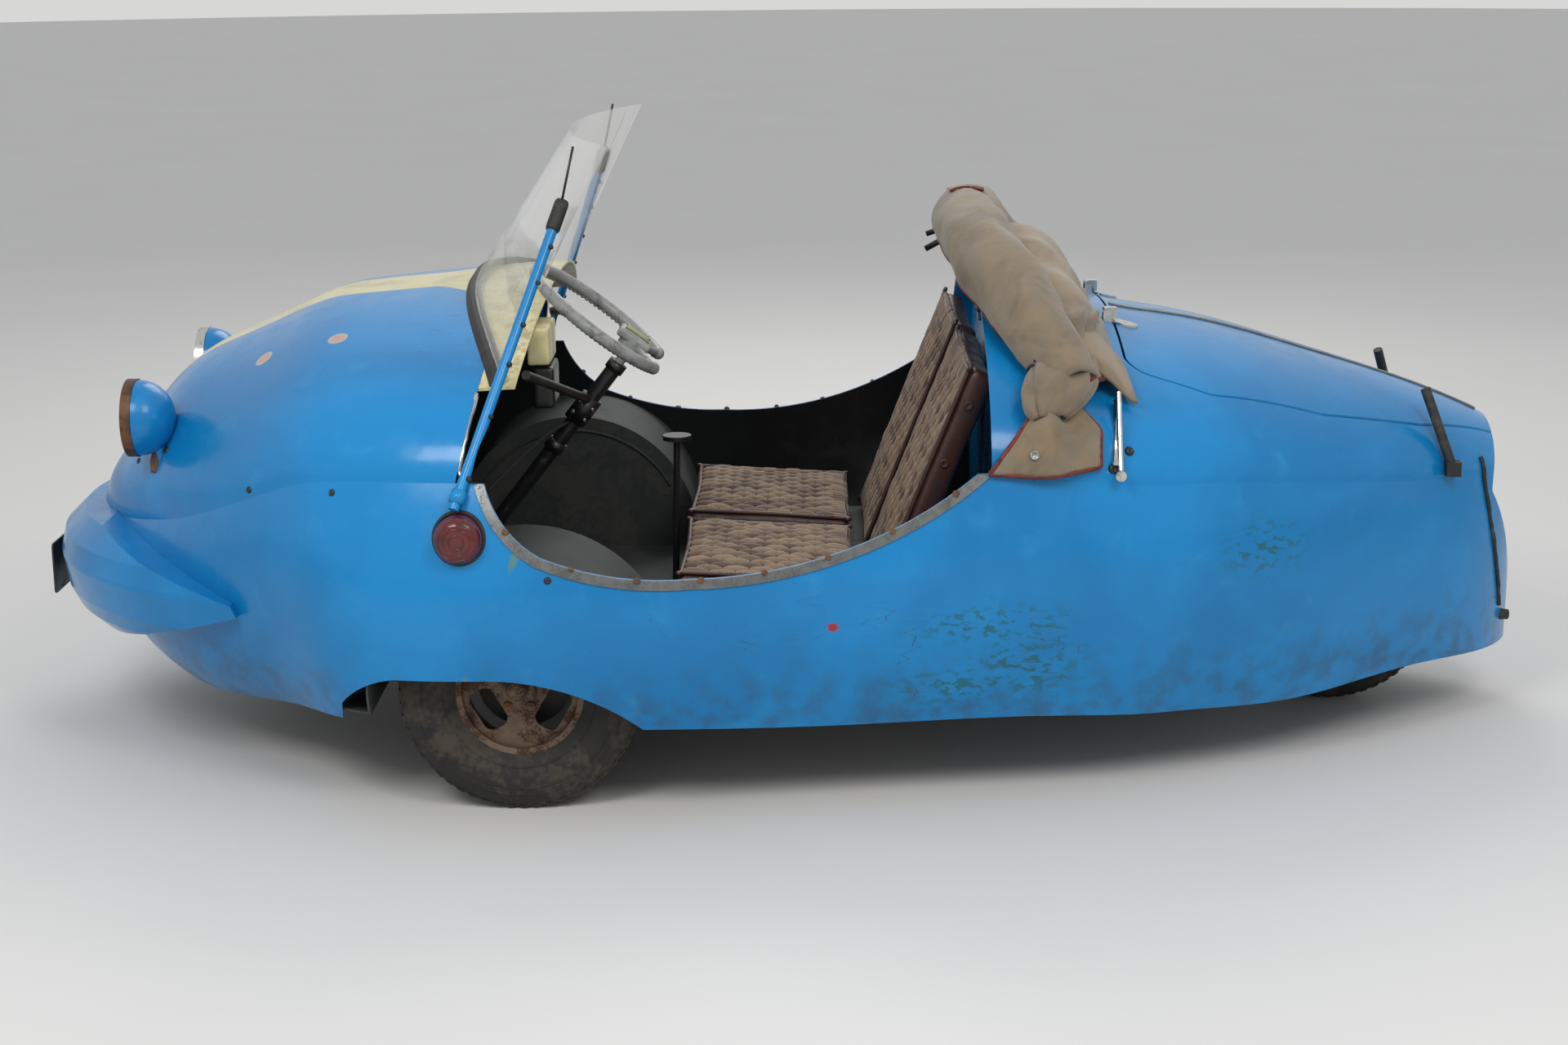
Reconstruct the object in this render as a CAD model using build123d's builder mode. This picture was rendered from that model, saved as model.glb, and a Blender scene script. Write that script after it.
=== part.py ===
from build123d import *
import os
from math import atan2, cos, degrees, hypot, radians, sin, tan

os.makedirs("parts", exist_ok=True)

# Open three wheeled car with a moulded body. All sizes are in millimetres.
# +X points to the tail, +Y to the car's right and +Z up. The origin is on the floor, under the
# middle of the overall length. Stations are distances behind the front axle.

# Running gear
front_axle_x = -446.85
wheelbase = 1490.0
rear_axle_x = front_axle_x + wheelbase
wheel_y = 605.0
kingpin_y = 530.0
tyre_radius = 207.5
tyre_half_width = 51.0
tyre_tread_half_width = 35.0
tyre_bead_radius = 104.0
rim_flange_radius = 117.5
rim_half_width = 37.0
rim_sheet = 3.5
hub_radius = 28.0
spindle_radius = 10.0
running_gap = 0.05
tyre_shoulder_radius = 160.0
rim_section = [
    (-1.0, 112.0), (-1.0, 117.5), (-0.9, 117.5), (-0.87, 103.5), (0.87, 103.5), (0.9, 117.5), (1.0, 117.5),
    (1.0, 112.0), (0.96, 99.5), (-0.96, 99.5),
]
disc_inset = 22.0
disc_sheet = 5.0
window_radius = 64.0
window_height = 44.0
window_width = 74.0
window_corner = 16.0
hub_reach = (-32.0, 44.0)
rear_hub_reach = (-55.0, 55.0)
axle_z = tyre_radius
steering_lock = 20.0
steering_ratio = 6.0

# Body
wall = 5.0
joint_gap = 0.3
seam_gap = 5.0
crease_z = 585.0
crease_rear_station = 790.0
crease_rear_slope = 0.1337
cowl_station = -90.0
cowl_rake = 12.0
rear_shell_station = 795.0
tail_station = 1823.0
floor_z = 180.0
floor_thickness = 4.0
floor_front_station = -560.0
bulkhead_station = 835.0
housing_y = 480.0
housing_radius = 250.0
seat_step_z = 270.0

# Sill of the cockpit: start, low point and end, with points between them
sill_front = (-42.0, 594.0)
sill_front_bend = (-8.0, 520.0)
sill_front_low = (52.0, 468.0)
sill_low = (300.0, 427.0)
sill_rear_mid = (575.0, 474.0)
sill_rear = (775.0, 587.0)
trim_width = 16.0
trim_thickness = 2.5

# Columns: station, half width at its widest, half width at the crease, height of the crease,
# height of the widest point, half width at the bottom, height of the bottom, height of the top.
body_sections = [
    (-846, 62, 56, 384, 372, 40, 325, 424),
    (-828, 118, 108, 396, 374, 70, 270, 476),
    (-785, 205, 190, 412, 380, 95, 190, 536),
    (-700, 322, 300, 432, 392, 205, 142, 644),
    (-590, 446, 420, 468, 412, 345, 130, 720),
    (-450, 572, 542, 530, 440, 450, 136, 781),
    (-290, 688, 648, 578, 460, 648, 165, 816),
    (-90, 738, 698, 585, 464, 716, 167, 832),
    (150, 736, 696, 585, 462, 716, 165, 842),
    (450, 700, 667, 585, 460, 665, 152, 848),
    (760, 674, 652, 585, 450, 618, 151, 846),
    (1000, 628, 604, 557, 430, 575, 142, 784),
    (1200, 540, 518, 537, 400, 492, 128, 742),
    (1400, 428, 406, 510, 370, 386, 122, 688),
    (1600, 290, 270, 484, 330, 255, 134, 624),
    (1740, 172, 158, 465, 300, 150, 128, 566),
    (1805, 78, 72, 456, 285, 66, 124, 530),
    (1823, 32, 30, 453, 280, 26, 122, 515),
]
skin_shift_station = 600.0
run_on_length = 12.0

# Lid of the tail, outline in plan: columns station, half width
lid_outline = [(1048, 385), (1190, 402), (1400, 322), (1600, 205), (1790, 62)]
lid_corner_radius = 45.0
lid_hinge_ahead = 15.0
lid_hinge_rise = 6.0
lid_opening = 60.0

hinge_y = 170.0
hinge_z = 780.0
hinge_barrel = 7.0
hinge_pin = 3.0
hinge_ear = 5.0
hinge_ear_y = 12.0
hinge_drop = 40.0
leaf_width = 16.0
leaf_length = 50.0
leaf_thickness = 4.0
ridge_front_station = 1056.0
ridge_rear_station = 1750.0
ridge_width = 18.0
latch_foot = (1655.0, 246.0, 500.0)
latch_head = (1608.0, 205.0, 640.0)
latch_radius = 9.0
latch_pad = 26.0

# Wheel arch of the lower shell, in side view
arch_front = (-300.0, 196.0)
arch_top_front = (-200.0, 255.0)
arch_top = (-70.0, 259.0)
arch_rear_bend = (105.0, 231.0)
arch_rear = (218.0, 158.0)

# Windscreen and posts
screen_rake = 33.5
screen_radius = 1100.0
screen_sheet = 4.0
screen_foot = (-111.0, 855.0)
screen_top_z = 1109.0
screen_half_foot = 588.0
screen_half_top = 452.0
post_radius = 9.0
post_foot = (-88.0, 731.0, 548.0)
post_head = (76.0, 462.0, 1012.0)
screen_side_z = 712.0
screen_corner_radius = 50.0
seal_height = 14.0
seal_half_width = 9.0
dash_depth = 62.0
dash_half_width = 585.0

# Folded hood and its stays
hood_thickness = 62.0
hood_crown = 72.0
hood_half_width = 745.0
hood_side_view = [
    (716, 830), (728, 905), (786, 985), (875, 948), (934, 922), (1006, 832), (1018, 780), (1003, 700),
    (1000, 572), (786, 572), (800, 600), (905, 640), (925, 705), (868, 800),
]
iron_low = (1012.0, 618.0, 574.0)
iron_high = (1014.0, 540.0, 700.0)
iron_radius = 5.0
iron_foot_y = 626.0
iron_foot_radius = 9.0

# Steering
column_y = -250.0
column_foot = (-252.0, 190.0)
column_head = (178.0, 739.0)
column_radius = 14.0
steering_ring_radius = 144.0
steering_grip_radius = 11.0
steering_hub_offset = 72.0
steering_opening = 32.0
brace_start = (18.0, -552.0, 738.0)
brace_end = (98.0, -252.0, 637.0)
brace_radius = 8.0
steering_spoke_radius = 7.0
steering_hub_radius = 26.0
steering_shaft_radius = 9.0
steering_shaft_length = 45.0
hub_thickness = 22.0

# Seats
seat_inner_y = 28.0
seat_outer_y = 448.0
cushion_front = 254.0
cushion_rear = 570.0
cushion_front_top = 381.0
cushion_rear_top = 362.0
back_foot_station = 584.0
back_lean = 21.8
back_length = 475.0
back_thickness = 62.0

cushion_edge = 18.0
step_front = 258.0
step_half_width = 462.0

# Gear lever
lever_station = 232.0
lever_y = -5.0
lever_z = 512.0
lever_radius = 6.5
lever_boot_radius = 24.0
knob_radius = 27.0
knob_height = 9.0

# Lamps
lamp_y = 288.0
lamp_station = -708.0
lamp_z = 617.0
lamp_radius = 68.0
lamp_ring_width = 18.0
lamp_bowl_depth = 64.0
side_lamp_station = -81.0
side_lamp_z = 500.0
side_lamp_radius = 40.0
side_lamp_y = 724.0
side_lamp_height = 39.0
side_lamp_round = 20.0
lens_bulge = 12.0
lamp_stalk_radius = 9.0

# Bumper
bumper_centre_station = -350.0
bumper_radius = 576.0
plate_width = 280.0
plate_height = 96.0
plate_thickness = 3.0

bumper_round = 18.0
bumper_side_view = [(-990, 200), (-990, 425), (-800, 425), (-505, 338), (-495, 316), (-640, 272), (-860, 196)]
bumper_profile = [
    (96, 421), (48, 421), (10, 385), (0, 345), (10, 285), (24, 256), (52, 230), (92, 200), (330, 200),
    (330, 421),
]
plate_z = 299.0

# Chassis
rail_y = 205.0
rail_width = 30.0
rail_height = 34.0
rail_front_station = -420.0
rail_rear_station = 1190.0
axle_tube_radius = 15.0
axle_low_z = 128.0
tie_rod_station = 92.0
tie_rod_radius = 8.0
tie_rod_z = 132.0
tie_eye_radius = 14.0
tie_eye_half_height = 10.0
tie_eye_gap = 0.5
tie_down_station = -360.0
tie_down_radius = 8.0
cross_member_stations = (-400.0, 300.0, 700.0, 910.0, 1080.0)
hoop_station = 1172.0
hoop_z = 500.0
hoop_radius = 14.0
fork_height = 96.0
fork_plate = 10.0
fork_depth = 38.0
fork_half_width = 18.0
fork_gap = 1.0
kingpin_radius = 8.0
barrel_radius = 16.0
spindle_end_y = 658.0
brake_plate_y = 561.0
brake_plate_radius = 82.0
brake_plate_thickness = 4.0
arm_z = 184.0
arm_radius = 7.0
stud_radius = 5.0
fork_station = 1140.0
fork_tube_radius = 16.0
fork_arm_y = 76.0
fork_arm_radius = 12.0
damper_foot_ahead = 95.0
damper_radius = 16.0
engine_station = 995.0
engine_y = 0.0
engine_length = 230.0
engine_width = 280.0
engine_height = 290.0


def at(station):
    """X of a station."""
    return front_axle_x + station


def save(part, label):
    """Label a finished piece and write it to its file."""
    part.label = label
    export_step(part, f"parts/{label}.step")


def run_on(first, middle, last, length):
    """The point reached by running the arc through three points on past its last one by a length."""
    (ax, ay), (bx, by), (cx, cy) = first, middle, last
    spread = 2 * (ax * (by - cy) + bx * (cy - ay) + cx * (ay - by))
    square_a, square_b, square_c = ax**2 + ay**2, bx**2 + by**2, cx**2 + cy**2
    centre_x = (square_a * (by - cy) + square_b * (cy - ay) + square_c * (ay - by)) / spread
    centre_y = (square_a * (cx - bx) + square_b * (ax - cx) + square_c * (bx - ax)) / spread
    radius = hypot(cx - centre_x, cy - centre_y)
    angle = atan2(cy - centre_y, cx - centre_x) - length / radius
    return centre_x + radius * cos(angle), centre_y + radius * sin(angle)


def body_form(skin, open_bottom=0.0, crown=0.0):
    """The closed form of the body, grown by skin, with its top raised by crown.

    With open_bottom the sides run on past the bottom and then straight down by that much, so that what
    the form cuts is open below.
    """
    with BuildPart() as form:
        for station, wide, crease_wide, crease, wide_z, low_wide, low, top in body_sections:
            end_shift = 0.0
            if abs(station) > skin_shift_station:
                end_shift = skin if station > tail_station - 100 else 0.0
            if station < -skin_shift_station:
                end_shift = -skin
            bottom = low - max(skin, 0.0)
            half_bottom = low_wide + skin
            if open_bottom:
                half_bottom, bottom = run_on(
                    (crease_wide + skin, crease), (wide + skin, wide_z), (half_bottom, bottom), run_on_length
                )
            with BuildSketch(Plane((at(station) + end_shift, 0, 0), (0, 1, 0), (1, 0, 0))):
                with BuildLine():
                    EllipticalCenterArc(
                        (0, crease), crease_wide + skin, top - crease + skin + crown, arc_size=180
                    )
                    ThreePointArc(
                        (-crease_wide - skin, crease), (-wide - skin, wide_z), (-half_bottom, bottom)
                    )
                    if open_bottom:
                        Line((-half_bottom, bottom), (-half_bottom, bottom - open_bottom))
                        Line((half_bottom, bottom), (half_bottom, bottom - open_bottom))
                    Line((-half_bottom, bottom - open_bottom), (half_bottom, bottom - open_bottom))
                    ThreePointArc(
                        (half_bottom, bottom), (wide + skin, wide_z), (crease_wide + skin, crease)
                    )
                make_face()
        loft()
    return form.part


def side_cut(points, depth=1000.0):
    """A straight sided block from an outline in side view."""
    with BuildPart() as cut:
        with BuildSketch(Plane.XZ):
            with BuildLine():
                Polyline(*[(at(station), z) for station, z in points], close=True)
            make_face()
        extrude(amount=depth, both=True)
    return cut.part


def rod(start, end, radius, mode=Mode.ADD):
    """A round bar from one point to another."""
    run = Vector(*end) - Vector(*start)
    with BuildSketch(Plane(origin=start, z_dir=run)) as disc:
        Circle(radius)
    extrude(disc.sketch, amount=run.length, mode=mode)


outer_form = body_form(0.0)
inner_form = body_form(-wall, open_bottom=60.0)
fit_form = body_form(-wall - joint_gap, open_bottom=60.0)

rear_crease = [
    (crease_rear_station, crease_z),
    (tail_station + 100, crease_z - (tail_station + 100 - crease_rear_station) * crease_rear_slope),
]
below_crease = side_cut(
    [(-1000, 0), (-1000, crease_z), rear_crease[0], rear_crease[1], (tail_station + 100, 0)]
)
above_crease = side_cut(
    [(-1000, crease_z), rear_crease[0], rear_crease[1], (tail_station + 100, 1200), (-1000, 1200)]
)
cowl_slope = tan(radians(cowl_rake))
cowl_top_station = cowl_station + (1200 - crease_z) * cowl_slope
before_cowl = side_cut(
    [(-1000, 0), (cowl_station, crease_z - 10), (cowl_top_station, 1200), (-1000, 1200)]
)

# Moulded skin below the crease, with the cockpit sill and the wheel arches cut
with BuildPart() as cockpit_cut:
    with BuildSketch(Plane.XZ) as cockpit_outline:
        with BuildLine():
            ThreePointArc(
                *[(at(station), z) for station, z in (sill_front, sill_front_bend, sill_front_low)]
            )
            front_low = (at(sill_front_low[0]), sill_front_low[1])
            ThreePointArc(front_low, (at(170), 434.5), (at(sill_low[0]), sill_low[1]))
            ThreePointArc(*[(at(station), z) for station, z in (sill_low, sill_rear_mid, sill_rear)])
            Polyline(
                (at(sill_rear[0]), sill_rear[1]),
                (at(sill_rear[0]), 700),
                (at(sill_front[0]), 700),
                (at(sill_front[0]), sill_front[1]),
            )
        make_face()
    extrude(amount=1000, both=True)

with BuildPart() as sill_band:
    with BuildSketch(Plane.XZ):
        add(cockpit_outline.sketch)
        offset(amount=trim_width, kind=Kind.INTERSECTION)
        add(cockpit_outline.sketch, mode=Mode.SUBTRACT)
    extrude(amount=1000, both=True)

with BuildPart() as arch_cut:
    with BuildSketch(Plane.XZ):
        with BuildLine():
            Line((at(arch_front[0] - 12), 60), (at(arch_front[0]), arch_front[1]))
            ThreePointArc(
                (at(arch_front[0]), arch_front[1]), (at(-255), 236), (at(arch_top_front[0]), arch_top_front[1])
            )
            Line((at(arch_top_front[0]), arch_top_front[1]), (at(arch_top[0]), arch_top[1]))
            ThreePointArc(
                (at(arch_top[0]), arch_top[1]),
                (at(arch_rear_bend[0]), arch_rear_bend[1]),
                (at(arch_rear[0]), arch_rear[1]),
            )
            Polyline(
                (at(arch_rear[0]), arch_rear[1]), (at(arch_rear[0] + 10), 60), (at(arch_front[0] - 12), 60)
            )
        make_face()
    extrude(amount=1000, both=True)

with BuildPart() as behind_tail:
    with BuildSketch(Plane.XZ):
        with BuildLine():
            Line((at(1775), 700), (at(1763), 520))
            Line((at(1763), 520), (at(1755), 436))
            ThreePointArc((at(1755), 436), (at(1806), 315), (at(1818), 90))
            Polyline((at(1818), 90), (at(1818), 0), (at(2000), 0), (at(2000), 700), (at(1775), 700))
        make_face()
    extrude(amount=1000, both=True)

with BuildPart() as lower_shell:
    add(outer_form)
    add(inner_form, mode=Mode.SUBTRACT)
    add(below_crease, mode=Mode.INTERSECT)
    add(cockpit_cut.part, mode=Mode.SUBTRACT)
    add(arch_cut.part, mode=Mode.SUBTRACT)
    add(behind_tail.part, mode=Mode.SUBTRACT)
save(lower_shell.part, "lower_shell")

# Bonnet, up to the raked cowl edge
with BuildPart() as bonnet_shell:
    add(outer_form)
    add(inner_form, mode=Mode.SUBTRACT)
    add(above_crease, mode=Mode.INTERSECT)
    add(before_cowl, mode=Mode.INTERSECT)
save(bonnet_shell.part, "bonnet_shell")

# Rear deck sides, from behind the seats to the tail, with the lid's opening cut
with BuildPart() as lid_prism:
    with BuildSketch(Plane.XY.offset(300)):
        with BuildLine():
            right = [(at(station), y) for station, y in lid_outline]
            left = [(x, -y) for x, y in reversed(right)]
            Polyline(*right, *left, close=True)
        make_face()
        fillet(vertices(), lid_corner_radius)
    extrude(amount=900)
with BuildPart() as lid_opening_prism:
    with BuildSketch(Plane.XY.offset(300)):
        add(lid_prism.faces().sort_by(Axis.Z)[0].moved(Location((0, 0, 0))))
        offset(amount=seam_gap)
    extrude(amount=900)
with BuildPart() as behind_bulkhead:
    with BuildSketch(Plane.YZ.offset(at(rear_shell_station))):
        Rectangle(2000, 2600)
    extrude(amount=2000)
with BuildPart() as rear_shell:
    add(outer_form)
    add(inner_form, mode=Mode.SUBTRACT)
    add(above_crease, mode=Mode.INTERSECT)
    add(behind_bulkhead.part, mode=Mode.INTERSECT)
    add(lid_opening_prism.part, mode=Mode.SUBTRACT)
    add(behind_tail.part, mode=Mode.SUBTRACT)
save(rear_shell.part, "rear_shell")

with BuildPart() as engine_lid:
    add(outer_form)
    add(inner_form, mode=Mode.SUBTRACT)
    add(lid_prism.part, mode=Mode.INTERSECT)
    add(behind_tail.part, mode=Mode.SUBTRACT)
save(engine_lid.part, "engine_lid")

# Thin bright or rubber strips lie on forms a little larger than the body
clear_form = body_form(joint_gap)
trim_form = body_form(joint_gap + trim_thickness)
seal_form = body_form(seal_height)
hood_form = body_form(hood_thickness, crown=hood_crown)

with BuildPart() as sill_trim:
    add(trim_form)
    add(clear_form, mode=Mode.SUBTRACT)
    add(sill_band.part, mode=Mode.INTERSECT)
    add(below_crease, mode=Mode.INTERSECT)
save(sill_trim.part, "sill_trim")

with BuildPart() as ridge_band:
    with BuildSketch(Plane.XY.offset(500)):
        ridge_length = ridge_rear_station - ridge_front_station
        with Locations((at(ridge_front_station) + ridge_length / 2, 0)):
            Rectangle(ridge_length, ridge_width)
    extrude(amount=600)
with BuildPart() as lid_ridge:
    add(trim_form)
    add(clear_form, mode=Mode.SUBTRACT)
    add(ridge_band.part, mode=Mode.INTERSECT)
save(lid_ridge.part, "lid_ridge")

# Hinges of the lid: brackets on the deck, leaves on the lid, pins through both
hinge_x = at(lid_outline[0][0] - lid_hinge_ahead)
with BuildPart() as lid_hinges:
    for side in (-1, 1):
        for ear in (-1, 1):
            with BuildSketch(Plane.XZ.offset(-side * hinge_y - ear * hinge_ear_y + hinge_ear / 2)):
                with Locations((hinge_x, hinge_z)):
                    Circle(hinge_barrel)
                with Locations((hinge_x, hinge_z - hinge_drop / 2)):
                    Rectangle(2 * hinge_barrel, hinge_drop)
            extrude(amount=-hinge_ear)
        pin_reach = hinge_ear_y + hinge_ear / 2
        rod(
            (hinge_x, side * hinge_y - pin_reach, hinge_z),
            (hinge_x, side * hinge_y + pin_reach, hinge_z),
            hinge_pin,
        )
    add(clear_form, mode=Mode.SUBTRACT)
save(lid_hinges.part, "lid_hinges")

leaf_form = body_form(joint_gap + leaf_thickness)
with BuildPart() as lid_leaves:
    for side in (-1, 1):
        with BuildSketch(Plane.XY.offset(hinge_z - hinge_drop)):
            with Locations((hinge_x + hinge_barrel, side * hinge_y)):
                Rectangle(leaf_length / 2, leaf_width, align=(Align.MIN, Align.CENTER))
            with Locations((hinge_x + hinge_barrel + leaf_length / 2, side * hinge_y)):
                Ellipse(leaf_length / 2, leaf_width)
        extrude(amount=2 * hinge_drop)
    add(leaf_form, mode=Mode.INTERSECT)
    for side in (-1, 1):
        rod(
            (hinge_x, side * hinge_y - leaf_width / 2, hinge_z),
            (hinge_x, side * hinge_y + leaf_width / 2, hinge_z),
            hinge_barrel,
        )
        with BuildSketch(Plane.XZ.offset(leaf_width / 2 - side * hinge_y)):
            with Locations((hinge_x, hinge_z + hinge_barrel)):
                Rectangle(2.5 * hinge_barrel, 3 * hinge_barrel, align=(Align.MIN, Align.MAX))
        extrude(amount=-leaf_width)
    add(clear_form, mode=Mode.SUBTRACT)
    for side in (-1, 1):
        rod(
            (hinge_x, side * hinge_y - leaf_width, hinge_z),
            (hinge_x, side * hinge_y + leaf_width, hinge_z),
            hinge_pin + running_gap,
            mode=Mode.SUBTRACT,
        )
save(lid_leaves.part, "lid_leaves")

# Rubber T latches at the tail
with BuildPart() as lid_latches:
    for side in (-1, 1):
        rod(
            (at(latch_foot[0]), side * latch_foot[1], latch_foot[2]),
            (at(latch_head[0]), side * latch_head[1], latch_head[2]),
            latch_radius,
        )
        with Locations((at(latch_foot[0]), side * latch_foot[1], latch_foot[2])):
            Box(latch_pad, latch_pad, latch_pad)
    add(clear_form, mode=Mode.SUBTRACT)
save(lid_latches.part, "lid_latches")

# Floor, wheel housings and seat step, one moulding
tub_front = at(floor_front_station)
tub_rear = at(bulkhead_station) - joint_gap
with BuildPart() as inner_tub:
    with BuildSketch(Plane.XY.offset(floor_z)):
        with Locations((tub_front, 0)):
            Rectangle(tub_rear - tub_front, 2000, align=(Align.MIN, Align.CENTER))
    extrude(amount=floor_thickness)
    for side in (-1, 1):
        with BuildSketch(Plane.XZ.offset(-side * (housing_y - floor_thickness))):
            with Locations((front_axle_x, axle_z)):
                Circle(housing_radius + floor_thickness)
        extrude(amount=-side * 400)
        with BuildSketch(Plane.XZ.offset(-side * housing_y)):
            with Locations((front_axle_x, axle_z)):
                Circle(housing_radius)
        extrude(amount=-side * 400, mode=Mode.SUBTRACT)
    with BuildSketch(Plane.XY.offset(floor_z)):
        with Locations((at(step_front), 0)):
            Rectangle(tub_rear - at(step_front), 2 * step_half_width, align=(Align.MIN, Align.CENTER))
    extrude(amount=seat_step_z - floor_z)
    with BuildSketch(Plane.XY.offset(floor_z)):
        with Locations((at(step_front) + floor_thickness, 0)):
            Rectangle(
                tub_rear - at(step_front) - 2 * floor_thickness,
                2 * (step_half_width - floor_thickness),
                align=(Align.MIN, Align.CENTER),
            )
    extrude(amount=seat_step_z - floor_z - floor_thickness, mode=Mode.SUBTRACT)
    with BuildSketch(Plane.XY.offset(floor_z)):
        Rectangle(4000, 2000)
    extrude(amount=-500, mode=Mode.SUBTRACT)
    add(fit_form, mode=Mode.INTERSECT)
save(inner_tub.part, "inner_tub")

with BuildPart() as bulkhead:
    with BuildSketch(Plane.YZ.offset(at(bulkhead_station))):
        with Locations((0, floor_z)):
            Rectangle(1600, 1000, align=(Align.CENTER, Align.MIN))
    extrude(amount=floor_thickness)
    add(fit_form, mode=Mode.INTERSECT)
save(bulkhead.part, "bulkhead")

# Cream panel behind the screen, running on from the bonnet
dash_strip = side_cut(
    [
        (cowl_station + joint_gap, crease_z - 10),
        (cowl_station + dash_depth, crease_z - 10),
        (cowl_top_station + dash_depth, 1200),
        (cowl_top_station + joint_gap, 1200),
    ],
    depth=dash_half_width,
)
with BuildPart() as dash:
    add(outer_form)
    add(inner_form, mode=Mode.SUBTRACT)
    add(above_crease, mode=Mode.INTERSECT)
    add(dash_strip, mode=Mode.INTERSECT)
save(dash.part, "dash")

# Windscreen: one curved sheet, raked back, standing in a rubber seal on the bonnet
rake = Vector(sin(radians(screen_rake)), 0, cos(radians(screen_rake)))
screen_low_z = 540.0
screen_low_x = at(screen_foot[0]) - (screen_foot[1] - screen_low_z) * tan(radians(screen_rake))


def screen_sheet_part(inner_radius, outer_radius):
    """The raked cylinder wall between two radii."""
    with BuildPart() as sheet:
        with BuildSketch(Plane.XY.offset(screen_low_z)) as ring:
            with Locations((screen_low_x + screen_radius, 0)):
                Circle(outer_radius)
                Circle(inner_radius, mode=Mode.SUBTRACT)
            with Locations((screen_low_x - 100, 0)):
                Rectangle(600, 2 * screen_half_foot, align=(Align.MIN, Align.CENTER), mode=Mode.INTERSECT)
        extrude(amount=760, dir=rake)
    return sheet.part


with BuildPart() as screen_front_view:
    with BuildSketch(Plane.YZ.offset(at(-400))):
        with BuildLine():
            Polyline(
                (-screen_half_foot, 600),
                (-screen_half_foot, screen_side_z),
                (-screen_half_top, screen_top_z),
                (screen_half_top, screen_top_z),
                (screen_half_foot, screen_side_z),
                (screen_half_foot, 600),
                close=True,
            )
        make_face()
        fillet(vertices().group_by(Axis.Y)[1:-1], screen_corner_radius)
    extrude(amount=900)

with BuildPart() as windscreen:
    add(screen_sheet_part(screen_radius - screen_sheet / 2, screen_radius + screen_sheet / 2))
    add(screen_front_view.part, mode=Mode.INTERSECT)
    add(seal_form, mode=Mode.SUBTRACT)
save(windscreen.part, "windscreen")

with BuildPart() as screen_seal:
    add(screen_sheet_part(screen_radius - seal_half_width, screen_radius + seal_half_width))
    add(screen_front_view.part, mode=Mode.INTERSECT)
    add(body_form(seal_height - joint_gap), mode=Mode.INTERSECT)
    add(clear_form, mode=Mode.SUBTRACT)
save(screen_seal.part, "screen_seal")

# Screen posts, their feet against the lower shell
with BuildPart() as screen_posts:
    for side in (-1, 1):
        foot = (at(post_foot[0]), side * post_foot[1], post_foot[2])
        head = (at(post_head[0]), side * post_head[1], post_head[2])
        rod(foot, head, post_radius)
    add(clear_form, mode=Mode.SUBTRACT)
save(screen_posts.part, "screen_posts")

# Steering column and wheel
column_run = Vector(column_head[0] - column_foot[0], 0, column_head[1] - column_foot[1]).normalized()
column_start = Vector(at(column_foot[0]), column_y, column_foot[1])
column_end = Vector(at(column_head[0]), column_y, column_head[1])
tube_end = column_end - column_run * steering_shaft_length
with BuildPart() as steering_column:
    rod(tuple(column_start), tuple(tube_end), column_radius)
    rod((at(brace_start[0]), *brace_start[1:]), (at(brace_end[0]), *brace_end[1:]), brace_radius)
    with BuildSketch(Plane.XY.offset(floor_z + floor_thickness)):
        Rectangle(4000, 2000)
    extrude(amount=-100, mode=Mode.SUBTRACT)
save(steering_column.part, "steering_column")

wheel_down = Vector(column_run.Z, 0, -column_run.X)
wheel_side = Vector(0, 1, 0)
ring_centre = column_end - wheel_down * steering_hub_offset
opening = radians(steering_opening)
first_arm = wheel_down * cos(opening) + wheel_side * sin(opening)
second_arm = wheel_down * cos(opening) - wheel_side * sin(opening)
if wheel_down.cross(wheel_side).dot(column_run) < 0:
    first_arm, second_arm = second_arm, first_arm
with BuildPart() as steering_wheel:
    ring_plane = Plane(origin=ring_centre, x_dir=first_arm, z_dir=first_arm.cross(column_run))
    with BuildSketch(ring_plane):
        with Locations((steering_ring_radius, 0)):
            Circle(steering_grip_radius)
    revolve(axis=Axis(ring_centre, column_run), revolution_arc=360 - 2 * steering_opening)
    for arm in (first_arm, second_arm):
        tip = ring_centre + arm * steering_ring_radius
        rod(tuple(column_end), tuple(tip), steering_spoke_radius)
        with Locations(tip):
            Sphere(steering_grip_radius + 0.5)
    half_hub = column_run * hub_thickness / 2
    rod(tuple(column_end - half_hub), tuple(column_end + half_hub), steering_hub_radius)
    rod(tuple(tube_end + column_run * joint_gap), tuple(column_end), steering_shaft_radius)
save(steering_wheel.part, "steering_wheel")

with BuildPart() as gear_lever:
    lever_foot = (at(lever_station), lever_y, floor_z + floor_thickness)
    lever_head = (at(lever_station + 8), lever_y, lever_z)
    rod(lever_foot, lever_head, lever_radius)
    with BuildSketch(Plane.XY.offset(lever_z)):
        with Locations((at(lever_station + 8), lever_y)):
            Circle(knob_radius)
    extrude(amount=knob_height)
    with BuildSketch(Plane.XY.offset(floor_z + floor_thickness)):
        Rectangle(4000, 2000)
    extrude(amount=-100, mode=Mode.SUBTRACT)
    with BuildSketch(Plane.XY.offset(floor_z + floor_thickness + joint_gap)):
        with Locations((at(lever_station), lever_y)):
            Circle(lever_boot_radius)
    extrude(amount=knob_height, taper=20)
save(gear_lever.part, "gear_lever")

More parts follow.
